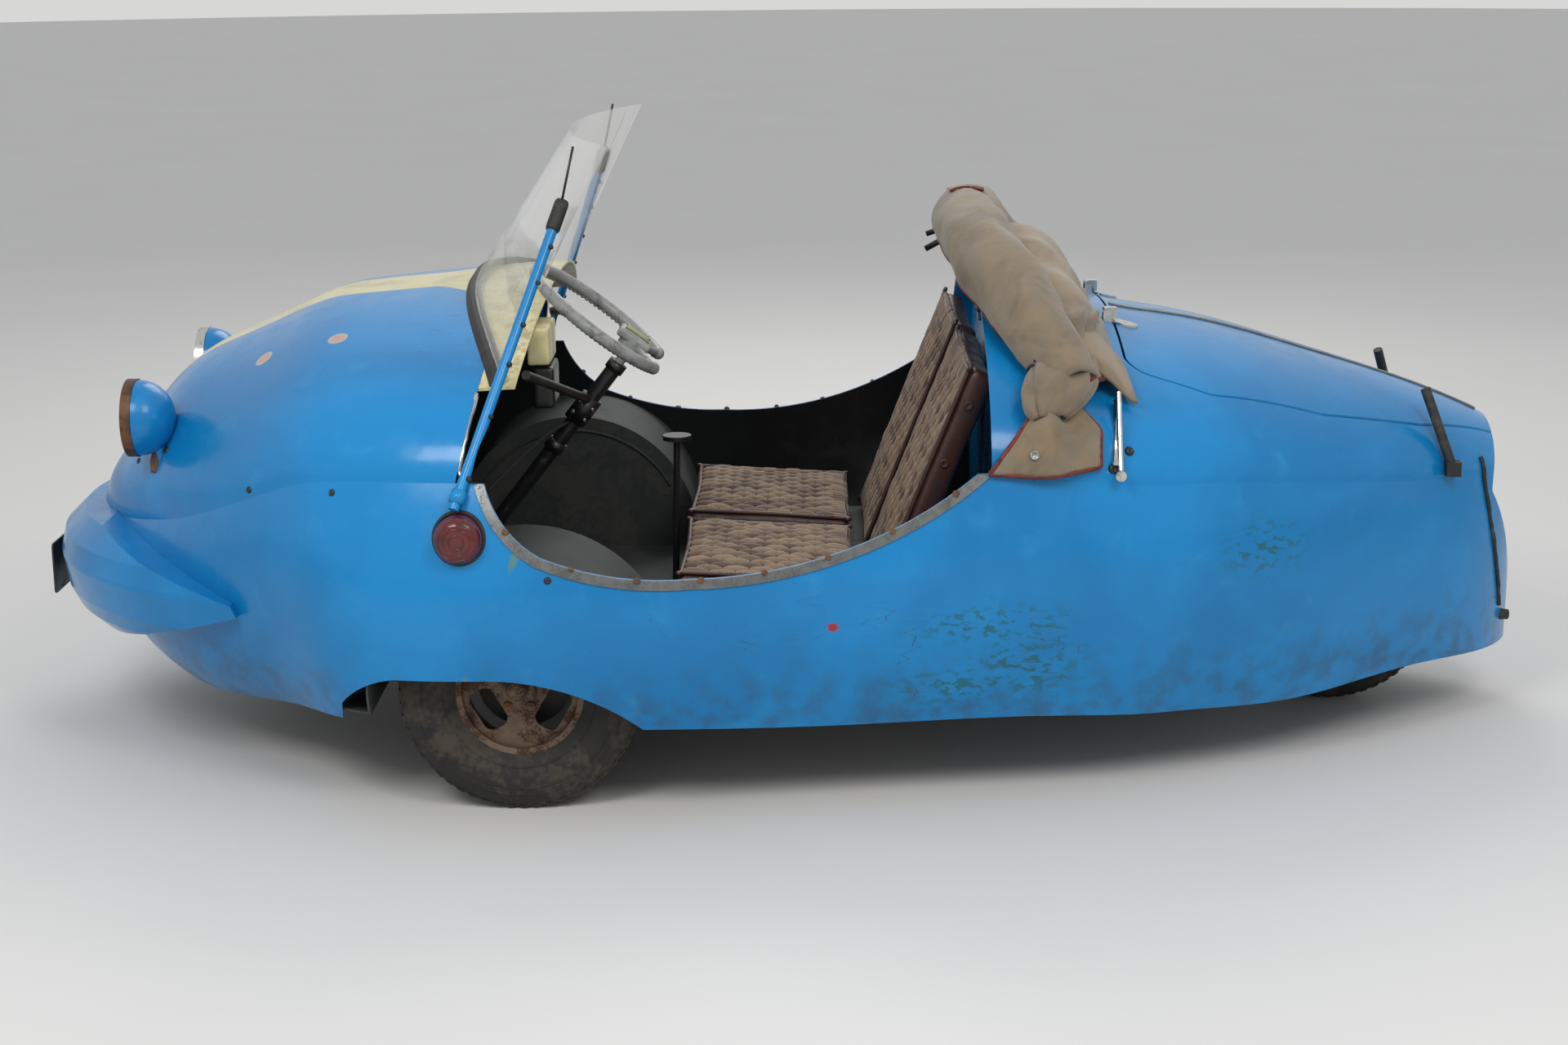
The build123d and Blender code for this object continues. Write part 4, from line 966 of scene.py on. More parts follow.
class Wardrobe:
    """All materials of the car, made once, and the dressing of the CAD nodes."""

    def __init__(self) -> None:
        """Make the materials."""
        for finish in FINISHES:
            setattr(self, finish.name, finish.make())
        self.blue = Gelcoat("faded_blue_moulding").make()
        self.blue_side = Gelcoat("scuffed_blue_moulding", side_wear=True).make()
        self.blue_cream = Gelcoat("blue_and_cream_moulding", cream_spine=True).make()
        self.lens = ClearSheet("headlamp_glass", (0.93, 0.95, 0.93), 0.04, 0.0, 1.0).make()
        self.screen = ClearSheet("scuffed_clear_sheet", (0.92, 0.93, 0.91), 0.05, 0.05, 0.34).make()
        self.red = red_lens()
        self.rims = rim_pair()
        self.silvering = silvering()
        self.woven = woven_cover()
        self.canvas = canvas("weathered_canvas", (0.245, 0.195, 0.130), (0.125, 0.092, 0.058))
        self.canvas_light = canvas("tan_canvas", (0.330, 0.250, 0.160), (0.190, 0.140, 0.090))

    def dress(self) -> None:
        """Give each shown CAD node its material."""
        table = {
            self.blue_side: "lower_shell",
            self.blue_cream: "bonnet_shell",
            self.blue: "rear_shell engine_lid bulkhead bumper screen_posts headlamp_bowls",
            self.dull_aluminium: "lid_ridge sill_trim",
            self.worn_chrome: "lid_hinges lid_leaves hood_irons",
            self.matt_rubber: "lid_latches screen_seal",
            self.matt_black_plate: "number_plate",
            self.rims: "headlamp_rims",
            self.lens: "headlamp_lenses",
            self.red: "side_lamps",
            self.screen: "windscreen",
            self.rough_grey_moulding: "inner_tub",
            self.aged_cream_paint: "dash",
            self.worn_black_paint: "steering_column gear_lever",
            self.worn_grey_plastic: "steering_wheel",
            self.dirty_frame_paint: "chassis_frame front_axle knuckle_left knuckle_right tie_rod rear_fork",
            self.dull_casting: "engine",
            self.dusty_tyre_rubber: "tyre_front_left tyre_front_right tyre_rear",
            self.rusty_wheel_paint: "rim_front_left rim_front_right rim_rear",
        }
        for material, nodes in table.items():
            for node in nodes.split():
                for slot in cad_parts[node].material_slots:
                    slot.material = material


@dataclass
class Studio:
    """The camera at the photograph's angle, a pale floor, three soft lights and a pale world.

    Attributes:
        eye: Where the camera stands.
        yaw: How far it turns from +Y, in radians.
        down: How far it looks down, in radians.
        roll: How far it leans, in radians.
        lens: Its focal length in millimetres.
        floor_radius: The radius of the floor.
        lights: The name, place, aim, width and watts of each light.
    """

    eye: Point = (0.05815, -4.873, 1.527)
    yaw: float = 0.0129
    down: float = 0.23755
    roll: float = 0.008792
    lens: float = 60.0
    floor_radius: float = 30.0
    lights: tuple = (
        ("left_front_light", (-1.7, -3.3, 3.3), (-0.5, -0.2, 0.5), 1.5, 62.0),
        ("left_rear_light", (1.6, -3.2, 3.3), (0.6, -0.2, 0.5), 1.5, 52.0),
        ("far_light", (0.2, 3.4, 3.6), (0.0, 0.0, 0.5), 2.4, 60.0),
    )

    def camera(self) -> None:
        """Place the camera."""
        data = bpy.data.cameras.new("camera")
        data.lens, data.sensor_width, data.sensor_fit = self.lens, 36.0, "HORIZONTAL"
        data.clip_end = 200.0
        made = bpy.data.objects.new("camera", data)
        bpy.context.scene.collection.objects.link(made)
        sine, cosine = math.sin(self.yaw), math.cos(self.yaw)
        right = Vector((cosine, sine, 0.0))
        ahead = Vector((-sine * math.cos(self.down), cosine * math.cos(self.down), -math.sin(self.down)))
        up = Vector((-sine * math.sin(self.down), cosine * math.sin(self.down), math.cos(self.down)))
        lean, level = math.sin(self.roll), math.cos(self.roll)
        columns = (right * level - up * lean, right * lean + up * level, -ahead)
        turn = Matrix([list(row) for row in zip(*columns)]).to_4x4()
        made.matrix_world = Matrix.Translation(Vector(self.eye)) @ turn
        bpy.context.scene.camera = made

    def floor(self) -> None:
        """Lay a wide pale floor."""
        shader = Shader("pale_floor")
        broad = shader.noise(shader.place, 1.2, 4.0)
        colour = shader.mix(broad, (0.700, 0.685, 0.660), (0.750, 0.735, 0.710))
        shader.dress(Base_Color=colour, Roughness=0.6, Specular_IOR_Level=0.3)
        angles = [2 * math.pi * k / 96 for k in range(96)]
        rim = [(self.floor_radius * math.cos(a), self.floor_radius * math.sin(a), 0.0) for a in angles]
        plane = mesh_object("floor", rim, [tuple(range(len(rim)))], [shader.material])
        shade(plane.data, False)

    def light(self, name: str, place: Point, aim: Point, width: float, watts: float) -> None:
        """Hang one square area light that faces a point."""
        data = bpy.data.lights.new(name, "AREA")
        data.shape, data.size, data.energy = "SQUARE", width, watts
        made = bpy.data.objects.new(name, data)
        made.location = place
        made.rotation_euler = (Vector(aim) - Vector(place)).to_track_quat("-Z", "Y").to_euler()
        bpy.context.scene.collection.objects.link(made)

    def world(self) -> None:
        """Light the scene softly all round, with a pale background."""
        world = bpy.data.worlds.new("pale_room")
        world.use_nodes = True
        graph = Graph(world.node_tree)
        graph.tree.nodes.clear()
        path = graph.node("ShaderNodeLightPath").outputs
        kinds = ("Camera", "Glossy", "Transmission")
        seen = graph.total("MAXIMUM", [path[f"Is {kind} Ray"] for kind in kinds])
        soft = graph.node("ShaderNodeBackground", {"Color": (0.93, 0.96, 1.0, 1.0), "Strength": 0.55})
        shown = graph.node("ShaderNodeBackground", {"Color": (0.80, 0.80, 0.79, 1.0), "Strength": 0.85})
        mixed = graph.node("ShaderNodeMixShader", {0: seen, 1: soft, 2: shown})
        graph.node("ShaderNodeOutputWorld", {0: mixed})
        bpy.context.scene.world = world

    def build(self) -> None:
        """Set the whole studio up."""
        bpy.context.scene.view_settings.view_transform = "Standard"
        self.camera()
        self.floor()
        for light in self.lights:
            self.light(*light)
        self.world()


def slab_point(
    spot: Vector, centre: Point, axes: tuple, half: Point, edge: float, crown: float, pull: float
) -> Vector:
    """Where a point of the unit cube lies on a slab."""
    place = Vector(a * b for a, b in zip(spot, half))
    inner = Vector(max(-(h - edge), min(h - edge, p)) for p, h in zip(place, half))
    away = place - inner
    if away.length > TINY:
        place = inner + away.normalized() * edge
    place.x *= 1.0 - pull * (1.0 - spot.y ** 2)
    place.y *= 1.0 - pull * (1.0 - spot.x ** 2)
    swell = (1.0 - spot.x ** 2) * (1.0 - spot.y ** 2)
    place.z += crown * (swell - 1.0) * max(0.0, spot.z)
    wavy = noise.noise(place * SLAB_WAVES) * SLAB_WAVE_HEIGHT
    result = Vector(centre)
    for axis, reach in zip(axes, place):
        result += Vector(axis) * reach
    return result + Vector(axes[2]) * wavy


def slab(
    name: str, centre: Point, axes: tuple, half: Point, material: bpy.types.Material, edge: float = 0.016,
    crown: float = 0.012, pull: float = 0.03, cells: tuple = (22, 22, 8),
) -> bpy.types.Object:
    """A stuffed slab: rounded edges, a crowned face and sides pulled in between the corners.

    Args:
        name: The object's name.
        centre: Its middle.
        axes: Its three directions, the last one out of the crowned face.
        half: Its half sizes along them.
        material: Its material.
        edge: The radius of its edges.
        crown: How far the face swells.
        pull: How far the sides come in, as a share of the half size.
        cells: How many cells it has along each direction.

    Returns:
        The closed slab.
    """
    verts, faces = [], []
    for normal in range(3):
        first, second = (normal + 1) % 3, (normal + 2) % 3
        across, along = cells[first], cells[second]
        for sign in (-1.0, 1.0):
            start = len(verts)
            for row, column in product(range(along + 1), range(across + 1)):
                spot = [0.0, 0.0, 0.0]
                spot[normal] = sign
                spot[first] = math.sin((column / across - 0.5) * math.pi)
                spot[second] = math.sin((row / along - 0.5) * math.pi)
                verts.append(slab_point(Vector(spot), centre, axes, half, edge, crown, pull))
            for row, column in product(range(along), range(across)):
                low = start + row * (across + 1) + column
                faces.append((low, low + 1, low + across + 2, low + across + 1))
    return outward(mesh_object(name, verts, faces, [material]))


@dataclass(frozen=True)
class Pad:
    """Where one seat pad lies and how it is dressed.

    Attributes:
        kind: Whether it is a cushion or a back, as its name says.
        side: The side of the car.
        centre: Its middle.
        axes: Its three directions, the last one out of the woven face.
        half: Its half sizes along them.
        cells: How many cells its mesh has along them.
        seed: The seed of its weave.
        sewn: How far under the woven face the sewn edge lies.
        reaches: How far along the first direction the buttons lie.
        shift: How far the line of buttons is off the middle.
    """

    kind: str
    side: Side
    centre: Vector
    axes: tuple
    half: Point
    cells: tuple
    seed: int
    sewn: float
    reaches: tuple
    shift: Vector


@dataclass
class Seats:
    """Two cushions and two leaning backs, dark leatherette with woven fronts.

    Attributes:
        looks: The materials.
        strand: The length and width of one woven strand.
        side_y: How far a seat's middle is off the car's middle.
        fall: How far a cushion falls over its run to the tail.
        lean: How far the backs lean, in degrees.
        fill: The share of a pad's box that its stuffing takes; not used.
    """

    looks: Wardrobe
    strand: tuple = (0.047, 0.0195)
    side_y: float = 0.238
    fall: tuple = (0.019, 0.316)
    lean: float = 21.8
    fill: float = 0.75

    def build(self) -> None:
        """Make both seats."""
        for side in Side:
            self.make(self.cushion(side))
            self.make(self.back(side))

    def cushion(self, side: Side) -> Pad:
        """Where a cushion lies."""
        slope = math.atan2(*self.fall)
        run = Vector((math.cos(slope), 0.0, -math.sin(slope)))
        out = Vector((math.sin(slope), 0.0, math.cos(slope)))
        centre = Vector((at(0.412), side.value * self.side_y, 0.3185))
        return Pad(
            "cushion", side, centre, (run, RIGHT, out), (0.155, 0.207, 0.047), (22, 22, 8), 11, 0.011,
            (-0.105, -0.035, 0.035, 0.105), UP * -0.004,
        )

    def back(self, side: Side) -> Pad:
        """Where a back lies."""
        lean = math.radians(self.lean)
        up = Vector((math.sin(lean), 0.0, math.cos(lean)))
        out = Vector((-math.cos(lean), 0.0, math.sin(lean)))
        foot = Vector((at(0.584), side.value * self.side_y, 0.2935))
        return Pad(
            "back", side, foot + up * 0.2375 - out * 0.031, (up, RIGHT, out), (0.235, 0.207, 0.029),
            (28, 24, 6), 31, 0.010, (-0.16, -0.05, 0.06, 0.17), out * -0.004,
        )

    def make(self, pad: Pad) -> None:
        """Make one pad with its weave, its sewn edge and its buttons."""
        label = pad.side.label
        leather = self.looks.dark_red_leatherette
        base = slab(f"{pad.kind}_{label}", pad.centre, pad.axes, pad.half, leather, cells=pad.cells)
        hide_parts(f"seat_{pad.kind}_{label}")
        settled(base, "body", "seat_cover")
        skin = Surface(base)
        self.weave(pad, skin)
        self.rolled_edge(pad)
        spots = []
        for reach in pad.reaches:
            origin = pad.centre + pad.axes[0] * reach + pad.side.out * 0.4 + pad.shift
            point, facing = skin.hit(origin, -pad.side.out)
            spots.append((point, facing, pad.axes[0]))
        button = bead("button", BUTTON_PROFILE, leather, 14)
        scattered(f"{pad.kind}_buttons_{label}", button, spots, 3, "seat_cover")

    def strand_piece(self) -> bpy.types.Object:
        """One crowned strand, low at its ends, facing +Z along +X."""
        length, width = self.strand
        rings, arch = 5, 6
        around = arch + 2
        verts, faces = [], []
        for ring in range(rings):
            t = ring / (rings - 1) * 2 - 1
            height = 0.0068 * (1.0 - 0.75 * t ** 4)
            x = t * length * 0.472
            for corner in range(arch):
                angle = math.pi * corner / (arch - 1)
                verts.append((x, math.cos(angle) * width * 0.445, math.sin(angle) * height))
            verts += [(x, share * width, -0.003) for share in (-0.4, 0.4)]
        for ring, corner in product(range(rings - 1), range(around)):
            here, there, beside = ring * around, (ring + 1) * around, (corner + 1) % around
            faces.append((here + corner, there + corner, there + beside, here + beside))
        faces.append(tuple(range(around)))
        faces.append(tuple((rings - 1) * around + corner for corner in reversed(range(around))))
        return outward(mesh_object("strand", verts, faces, [self.looks.woven]))

    def weave(self, pad: Pad, skin: Surface) -> None:
        """Lay strands over the crowned face of a pad, in staggered rows."""
        length, width = self.strand
        reach, spread, deep = pad.half
        run, aside, out = pad.axes
        columns = int((2 * spread - 0.012) / width)
        count = int((2 * reach - 0.010) / length) + 1
        spots = []
        for column, row in product(range(columns), range(count)):
            start = -reach + 0.008 + (column % 2) * length / 2
            along = min(start + (row + 0.5) * length, reach - 0.024)
            if along < -reach + 0.02:
                continue
            across = (column - (columns - 1) / 2) * width
            origin = pad.centre + run * along + aside * across + out * (deep + 0.2)
            point, facing = skin.hit(origin, -out)
            spots.append((point, facing, run))
        name = f"{pad.kind}_cover_{pad.side.label}"
        scattered(name, self.strand_piece(), spots, pad.seed + pad.side.value, "seat_cover", spread=0.04)

    def rolled_edge(self, pad: Pad) -> None:
        """The sewn edge round the woven face, bowed in like the pad."""
        steps = (-0.96, 0.0, 0.96)
        trip = [(t, -1) for t in steps] + [(1, t) for t in steps]
        trip += [(-t, 1) for t in steps] + [(-1, -t) for t in steps]
        line = []
        for along, across in trip:
            ends = abs(along) == 1
            bow = 1.0 - 0.03 * (1.0 - (across if ends else along) ** 2)
            reach = along * (pad.half[0] - 0.007) * (bow if ends else 1)
            spread = across * (pad.half[1] - 0.007) * (1 if ends else bow)
            spot = pad.centre + pad.axes[0] * reach + pad.axes[1] * spread
            line.append(spot + pad.axes[2] * (pad.half[2] - pad.sewn))
        made = tube(
            f"{pad.kind}_edge_{pad.side.label}", rounded(line, 5, Outline.CLOSED), 0.0042,
            self.looks.dark_red_leatherette, 8, Outline.CLOSED,
        )
        settled(made, "body", "seat_cover")


def grid(height: int, width: int, point: Callable[[float, float], Vector]) -> list:
    """Rows of points from a function of how far down and across a sheet, both from 0 to 1."""
    return [[point(r / (height - 1), c / (width - 1)) for c in range(width)] for r in range(height)]


def cloth(name: str, rows: list, thickness: float, material: bpy.types.Material) -> bpy.types.Object:
    """A closed sheet of cloth from a grid of points.

    Args:
        name: The object's name.
        rows: Rows of points, all of one length.
        thickness: How thick the cloth is.
        material: Its material.

    Returns:
        The sheet, with both faces and its edges.
    """
    height, width = len(rows), len(rows[0])
    normals = []
    for r, c in product(range(height), range(width)):
        along = rows[min(r + 1, height - 1)][c] - rows[max(r - 1, 0)][c]
        across = rows[r][min(c + 1, width - 1)] - rows[r][max(c - 1, 0)]
        normals.append(across.cross(along).normalized())
    flat = [point for row in rows for point in row]
    verts = [p + n * thickness / 2 for p, n in zip(flat, normals)]
    verts += [p - n * thickness / 2 for p, n in zip(flat, normals)]
    half = height * width
    faces = []
    for r, c in product(range(height - 1), range(width - 1)):
        low = r * width + c
        quad = (low, low + 1, low + width + 1, low + width)
        faces += [quad, tuple(half + number for number in reversed(quad))]
    rim = list(range(width))
    rim += [r * width + width - 1 for r in range(1, height)]
    rim += [(height - 1) * width + c for c in range(width - 2, -1, -1)]
    rim += [r * width for r in range(height - 2, 0, -1)]
    faces += [(a, half + a, half + b, b) for a, b in zip(rim, rim[1:] + rim[:1])]
    return outward(mesh_object(name, verts, faces, [material]))


def cut_of(rows: list) -> tuple:
    """The flat width, length and area that a grid of cloth was cut to."""
    width = max(sum((a - b).length for a, b in zip(row, row[1:])) for row in rows)
    length = max(sum((a - b).length for a, b in zip(line, line[1:])) for line in zip(*rows))
    area = 0.0
    for upper, lower in zip(rows, rows[1:]):
        for a, b, d, e in zip(upper, upper[1:], lower[1:], lower):
            area += ((b - a).cross(d - a).length + (d - a).cross(e - a).length) / 2
    return width, length, area


def creased(point: Vector, seed: float, height: float, scale: float) -> float:
    """The height of folds at a point."""
    moved = Vector((point.x * scale + seed, point.y * scale * 0.7, point.z * scale))
    folds = noise.noise(moved) + 0.5 * noise.noise(moved * 2.3) + 0.25 * noise.noise(moved * 5.1)
    return height * folds


@dataclass
class FoldedHood:
    """The canvas hood folded over the hump behind the seats, with red piping and a drawn neck on each side.

    Attributes:
        looks: The materials.
        thickness: How thick the canvas is, with its lining.
        roll: Stations, sides, heights and radii along the middle of the roll, on the left half.
        neck_rings: Stations, heights, half widths and depths down the gathered neck.
        foremost: The first station where the skin carries the canvas, in front of which it hangs free.
        plain: The share of its rectangle from which on a sheet counts as a rectangle; not used.
    """

    looks: Wardrobe
    thickness: float = 0.006
    roll: tuple = (
        (0.790, 0.00, 0.916, 0.066), (0.802, -0.16, 0.905, 0.067), (0.826, -0.30, 0.872, 0.068),
        (0.862, -0.42, 0.820, 0.064), (0.905, -0.51, 0.760, 0.056), (0.938, -0.560, 0.712, 0.046),
    )
    neck_rings: tuple = (
        (0.918, 0.750, 0.060, 0.036), (0.908, 0.730, 0.046, 0.027), (0.903, 0.717, 0.040, 0.023),
        (0.903, 0.702, 0.050, 0.027), (0.902, 0.684, 0.056, 0.028), (0.896, 0.668, 0.046, 0.022),
        (0.888, 0.656, 0.026, 0.012),
    )
    foremost: float = 0.812
    plain: float = 0.97
    skin: Surface = field(default_factory=lambda: Surface("rear_shell", "lower_shell", "engine_lid"))

    def build(self) -> None:
        """Make the folded hood and its fittings."""
        self.main_roll()
        self.rear_layer()
        for side in Side:
            self.neck(side)
            self.flap(side)
            self.corner(side)
            self.stay(side)
        self.front_details()

    def sheet(self, name: str, rows: list, material: bpy.types.Material, stands_for: str = "") -> None:
        """Args:
            name: Its name.
            rows: Its grid of points.
            material: Its material.
            stands_for: The CAD node that it replaces, if any.
        """
        made = cloth(name, rows, self.thickness, material)
        if stands_for:
            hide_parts(stands_for)
        self.declare(made, rows)

    def declare(self, piece: bpy.types.Object, rows: list) -> None:
        """Work out the size that a sheet was cut to, and let it ride."""
        width, length, area = cut_of(rows)
        settled(piece, "body", "canvas")

    def piping(self, name: str, line: list, radius: float = 0.0042) -> None:
        """A bound edge along a line."""
        settled(tube(name, rounded(line, 3), radius, self.looks.rust_red_piping, 8), "body", "canvas")

    def beside(self, side: Side, station: float, z: float, lift: float) -> Vector:
        """The skin's point seen from one side at a station and height, raised by a lift."""
        held = max(station, self.foremost)
        point, normal = self.skin.beside(side, at(held), z)
        return point + normal * lift + AFT * (station - held)

    def above(self, station: float, y: float, lift: float) -> Vector:
        """The skin's point seen from above at a station and side, raised by a lift."""
        held = max(station, self.foremost)
        point, normal = self.skin.hit((at(held), y, 1.8), -UP)
        return point + normal * lift + AFT * (station - held)

    def main_roll(self) -> None:
        """The thick roll over the hump, a sheet wound round its middle line."""
        half = [Vector((at(station), y, z)) for station, y, z, _ in self.roll]
        radii = [radius for *_, radius in self.roll]
        mirrored = [Vector((point.x, -point.y, point.z)) for point in reversed(half[1:])]
        line = rounded(mirrored + half, ROLL_STEPS)
        sizes = [*reversed(radii[1:]), *radii]
        rows = [self.wound(line, sizes, number) for number in range(len(line))]
        self.sheet("hood_roll", rows, self.looks.canvas, "hood")
        turn_in = [row[-1] for row in rows]
        self.piping("hood_roll_binding", turn_in[8:-8:2], 0.0035)

    def wound(self, line: list, sizes: list, number: int) -> list:
        """One turn of the roll round its middle line.

        Args:
            line: The middle line.
            sizes: The radii at its knots.
            number: Which point of the line the turn goes round.

        Returns:
            The points of the turn.
        """
        middle = line[number]
        t = number / ROLL_STEPS
        low = min(int(t), len(sizes) - 2)
        radius = sizes[low] + (sizes[low + 1] - sizes[low]) * (t - low)
        along = (line[min(number + 1, len(line) - 1)] - line[max(number - 1, 0)]).normalized()
        up = Vector((0.12, 0.0, 1.0))
        up = (up - along * up.dot(along)).normalized()
        fore = along.cross(up)
        row = []
        for column in range(33):
            angle = math.radians(-205 + 330 * column / 32)
            spread = radius * (1.0 + 0.10 * math.cos(2 * angle) - 0.0007 * max(0, column - 26) ** 2)
            spot = middle + (fore * math.sin(angle) + up * math.cos(angle) * 0.88) * spread
            spot += (spot - middle).normalized() * creased(spot, 3.1, 0.0075, 11.0)
            ripple = 0.0028 * math.sin(along.y * 3 + number * 0.55 + 3.0 * math.sin(angle * 1.5))
            row.append(spot + (spot - middle).normalized() * ripple)
        return row

    def rear_layer(self) -> None:
        """The paler layer that hangs behind the roll."""

        def point(t: float, share: float) -> Vector:
            u = share * 2 - 1
            swell = math.sin(math.pi * min(1.0, 0.25 + t * 0.8)) ** 0.8
            rise = 0.070 * swell * (1 - 0.55 * u * u) + 0.016
            spot = self.above(0.835 + 0.155 * t + 0.055 * u * u, u * 0.50, rise)
            fold = 0.010 * math.sin(u * 21.0 + 1.5 * math.sin(t * 3.0)) * (0.3 + 0.7 * t)
            spot.z += fold * (1 - 0.4 * abs(u)) + creased(spot, 7.7, 0.006, 12.0)
            return spot

        self.sheet("hood_rear_layer", grid(15, 49, point), self.looks.canvas_light)

    def neck(self, side: Side) -> None:
        """The gathered neck under the roll's end, its string and the bundle below it."""
        columns = 41
        rows = []
        for station, z, wide, deep in self.neck_rings:
            row = []
            for column in range(columns):
                angle = math.radians(-172 + 344 * column / (columns - 1))
                pleat = 1.0 + 0.13 * math.sin(9 * angle + z * 40.0) + 0.05 * math.sin(23 * angle)
                place = station + math.sin(angle) * wide * pleat
                base = self.beside(side, place, z, 0.0)
                spot = self.beside(side, place, z, (math.cos(angle) * pleat + 1.0) * deep + 0.010)
                spot.z += creased(base, 1.3 + side.value, 0.006, 14.0)
                row.append(spot)
            rows.append(row)
        fine = [rounded(list(line), 3) for line in zip(*rows)]
        rows = [list(row) for row in zip(*fine)]
        self.sheet(f"hood_bundle_{side.label}", rows, self.looks.canvas)
        middle = self.beside(side, 0.903, 0.717, 0.016)
        string = [point + (point - middle) * 0.12 for point in rows[6]]
        made = tube(f"hood_string_{side.label}", string, 0.0034, self.looks.black_cord, 6)
        settled(made, "body", "rubber")

    def flap(self, side: Side) -> None:
        """The three-cornered flap that lies on the side of the body, with its buttons."""

        def point(t: float, u: float) -> Vector:
            front = 0.880 - 0.090 * t
            rear = 0.905 + 0.070 * min(1.0, t * 2.0) ** 0.7
            z = 0.690 - 0.104 * t - 0.006 * math.sin(math.pi * u) * t
            fold = 0.5 + 0.5 * math.sin(u * 9.0 - t * 3.2)
            swell = (0.026 * (1 - t) + 0.011) * fold
            lift = 0.009 + swell * math.sin(math.pi * min(1.0, 0.06 + u * 0.9))
            spot = self.beside(side, front + (rear - front) * u, z, lift)
            return spot + side.out * abs(creased(spot, 5.5, 0.004, 16.0))

        label = side.label
        rows = grid(19, 25, point)
        self.sheet(f"hood_flap_{label}", rows, self.looks.canvas)
        self.piping(f"hood_flap_front_binding_{label}", [row[0] for row in rows][::3])
        self.piping(f"hood_flap_low_binding_{label}", rows[-1][::4])
        self.piping(f"hood_flap_rear_binding_{label}", [row[-1] for row in rows][::3])
        facing = Vector((0.0, side.value, 0.3))
        spots = [(rows[row][column] + side.out * 0.004, facing, AFT) for row, column in ((13, 7), (3, 9))]
        ring = bead("ring_button", RING_BUTTON_PROFILE, self.looks.dull_steel, 16)
        scattered(f"hood_buttons_{label}", ring, spots, 5, "bright_trim")

    def corner(self, side: Side) -> None:
        """The turned-out corner behind the neck, with its bound edge running down to the bundle."""

        def point(t: float, u: float) -> Vector:
            z = 0.768 - 0.052 * u - 0.088 * t * (1.0 - 0.80 * u)
            lift = 0.040 * math.cos(math.pi / 2 * u) + 0.012
            lift += 0.007 * math.sin(u * 10.0 + t * 5.0) * (1.0 - u)
            spot = self.beside(side, 0.928 + 0.078 * u, z, lift)
            spot.z += creased(spot, 9.2, 0.004, 15.0)
            return spot

        rows = grid(13, 21, point)
        self.sheet(f"hood_corner_{side.label}", rows, self.looks.canvas_light)
        edge = [row[-1] for row in rows] + rows[-1][::-1][2:]
        self.piping(f"hood_corner_binding_{side.label}", edge[::3], 0.0048)
        inner = [spot + Vector((-0.012, side.value * 0.006, 0.006)) for spot in edge[2:-3]]
        self.piping(f"hood_inner_binding_{side.label}", inner[::3], 0.0036)

    def stay(self, side: Side) -> None:
        """The bright stay behind the flap, with a screw at each end."""
        foot = self.beside(side, 1.000, 0.586, 0.012)
        head = self.beside(side, 1.010, 0.672, 0.012)
        line = [foot, (foot + head) / 2, head]
        settled(tube(f"hood_stay_{side.label}", line, 0.0055, self.looks.worn_chrome, 12), "body", "chrome")
        spots = []
        for station, z, lift in ((1.000, 0.582, 0.002), (1.030, 0.606, 0.0)):
            place, facing = self.skin.beside(side, at(station), z)
            spots.append((place + facing * lift, facing, AFT))
        head_piece = screw(0.0085, 0.005, self.looks.worn_black_paint)
        scattered(f"hood_stay_screws_{side.label}", head_piece, spots, 6, "chrome")

    def front_details(self) -> None:
        """The patch on top, the black pin ends and the latch under the roll's front."""

        def point(t: float, u: float) -> Vector:
            angle = math.radians(-28 + 50 * t)
            centre = Vector((at(0.795), 0.045 + 0.13 * u, 0.916 - 0.012 * u))
            out = Vector((math.sin(angle), 0.0, math.cos(angle) * 0.88))
            return centre + out * (0.0745 + 0.002 * math.sin(u * 9 + t * 5))

        rows = grid(9, 11, point)
        self.declare(cloth("hood_top_patch", rows, 0.004, self.looks.rust_red_piping), rows)
        black = self.looks.worn_black_paint
        pins = [
            tube("pin", [(at(0.775), 0.250, 0.868), (at(0.722), 0.256, 0.838)], 0.0060, black, 12),
            tube("pin", [(at(0.775), 0.262, 0.884), (at(0.724), 0.268, 0.866)], 0.0055, black, 12),
        ]
        settled(joined("hood_bow_ends", pins), "body", "black_metal")
        for side in Side:
            plate = slab(
                "latch", (at(0.800), side.value * 0.270, 0.800), (UP, RIGHT, -AFT), (0.020, 0.007, 0.007),
                black, 0.003, 0.0, 0.0, (6, 6, 6),
            )
            ends = [(at(0.795), side.value * y, z) for y, z in ((0.250, 0.806), (0.292, 0.803))]
            latch = [plate, tube("latch_bar", ends, 0.0055, black, 10)]
            settled(joined(f"hood_latch_{side.label}", latch), "body", "black_metal")


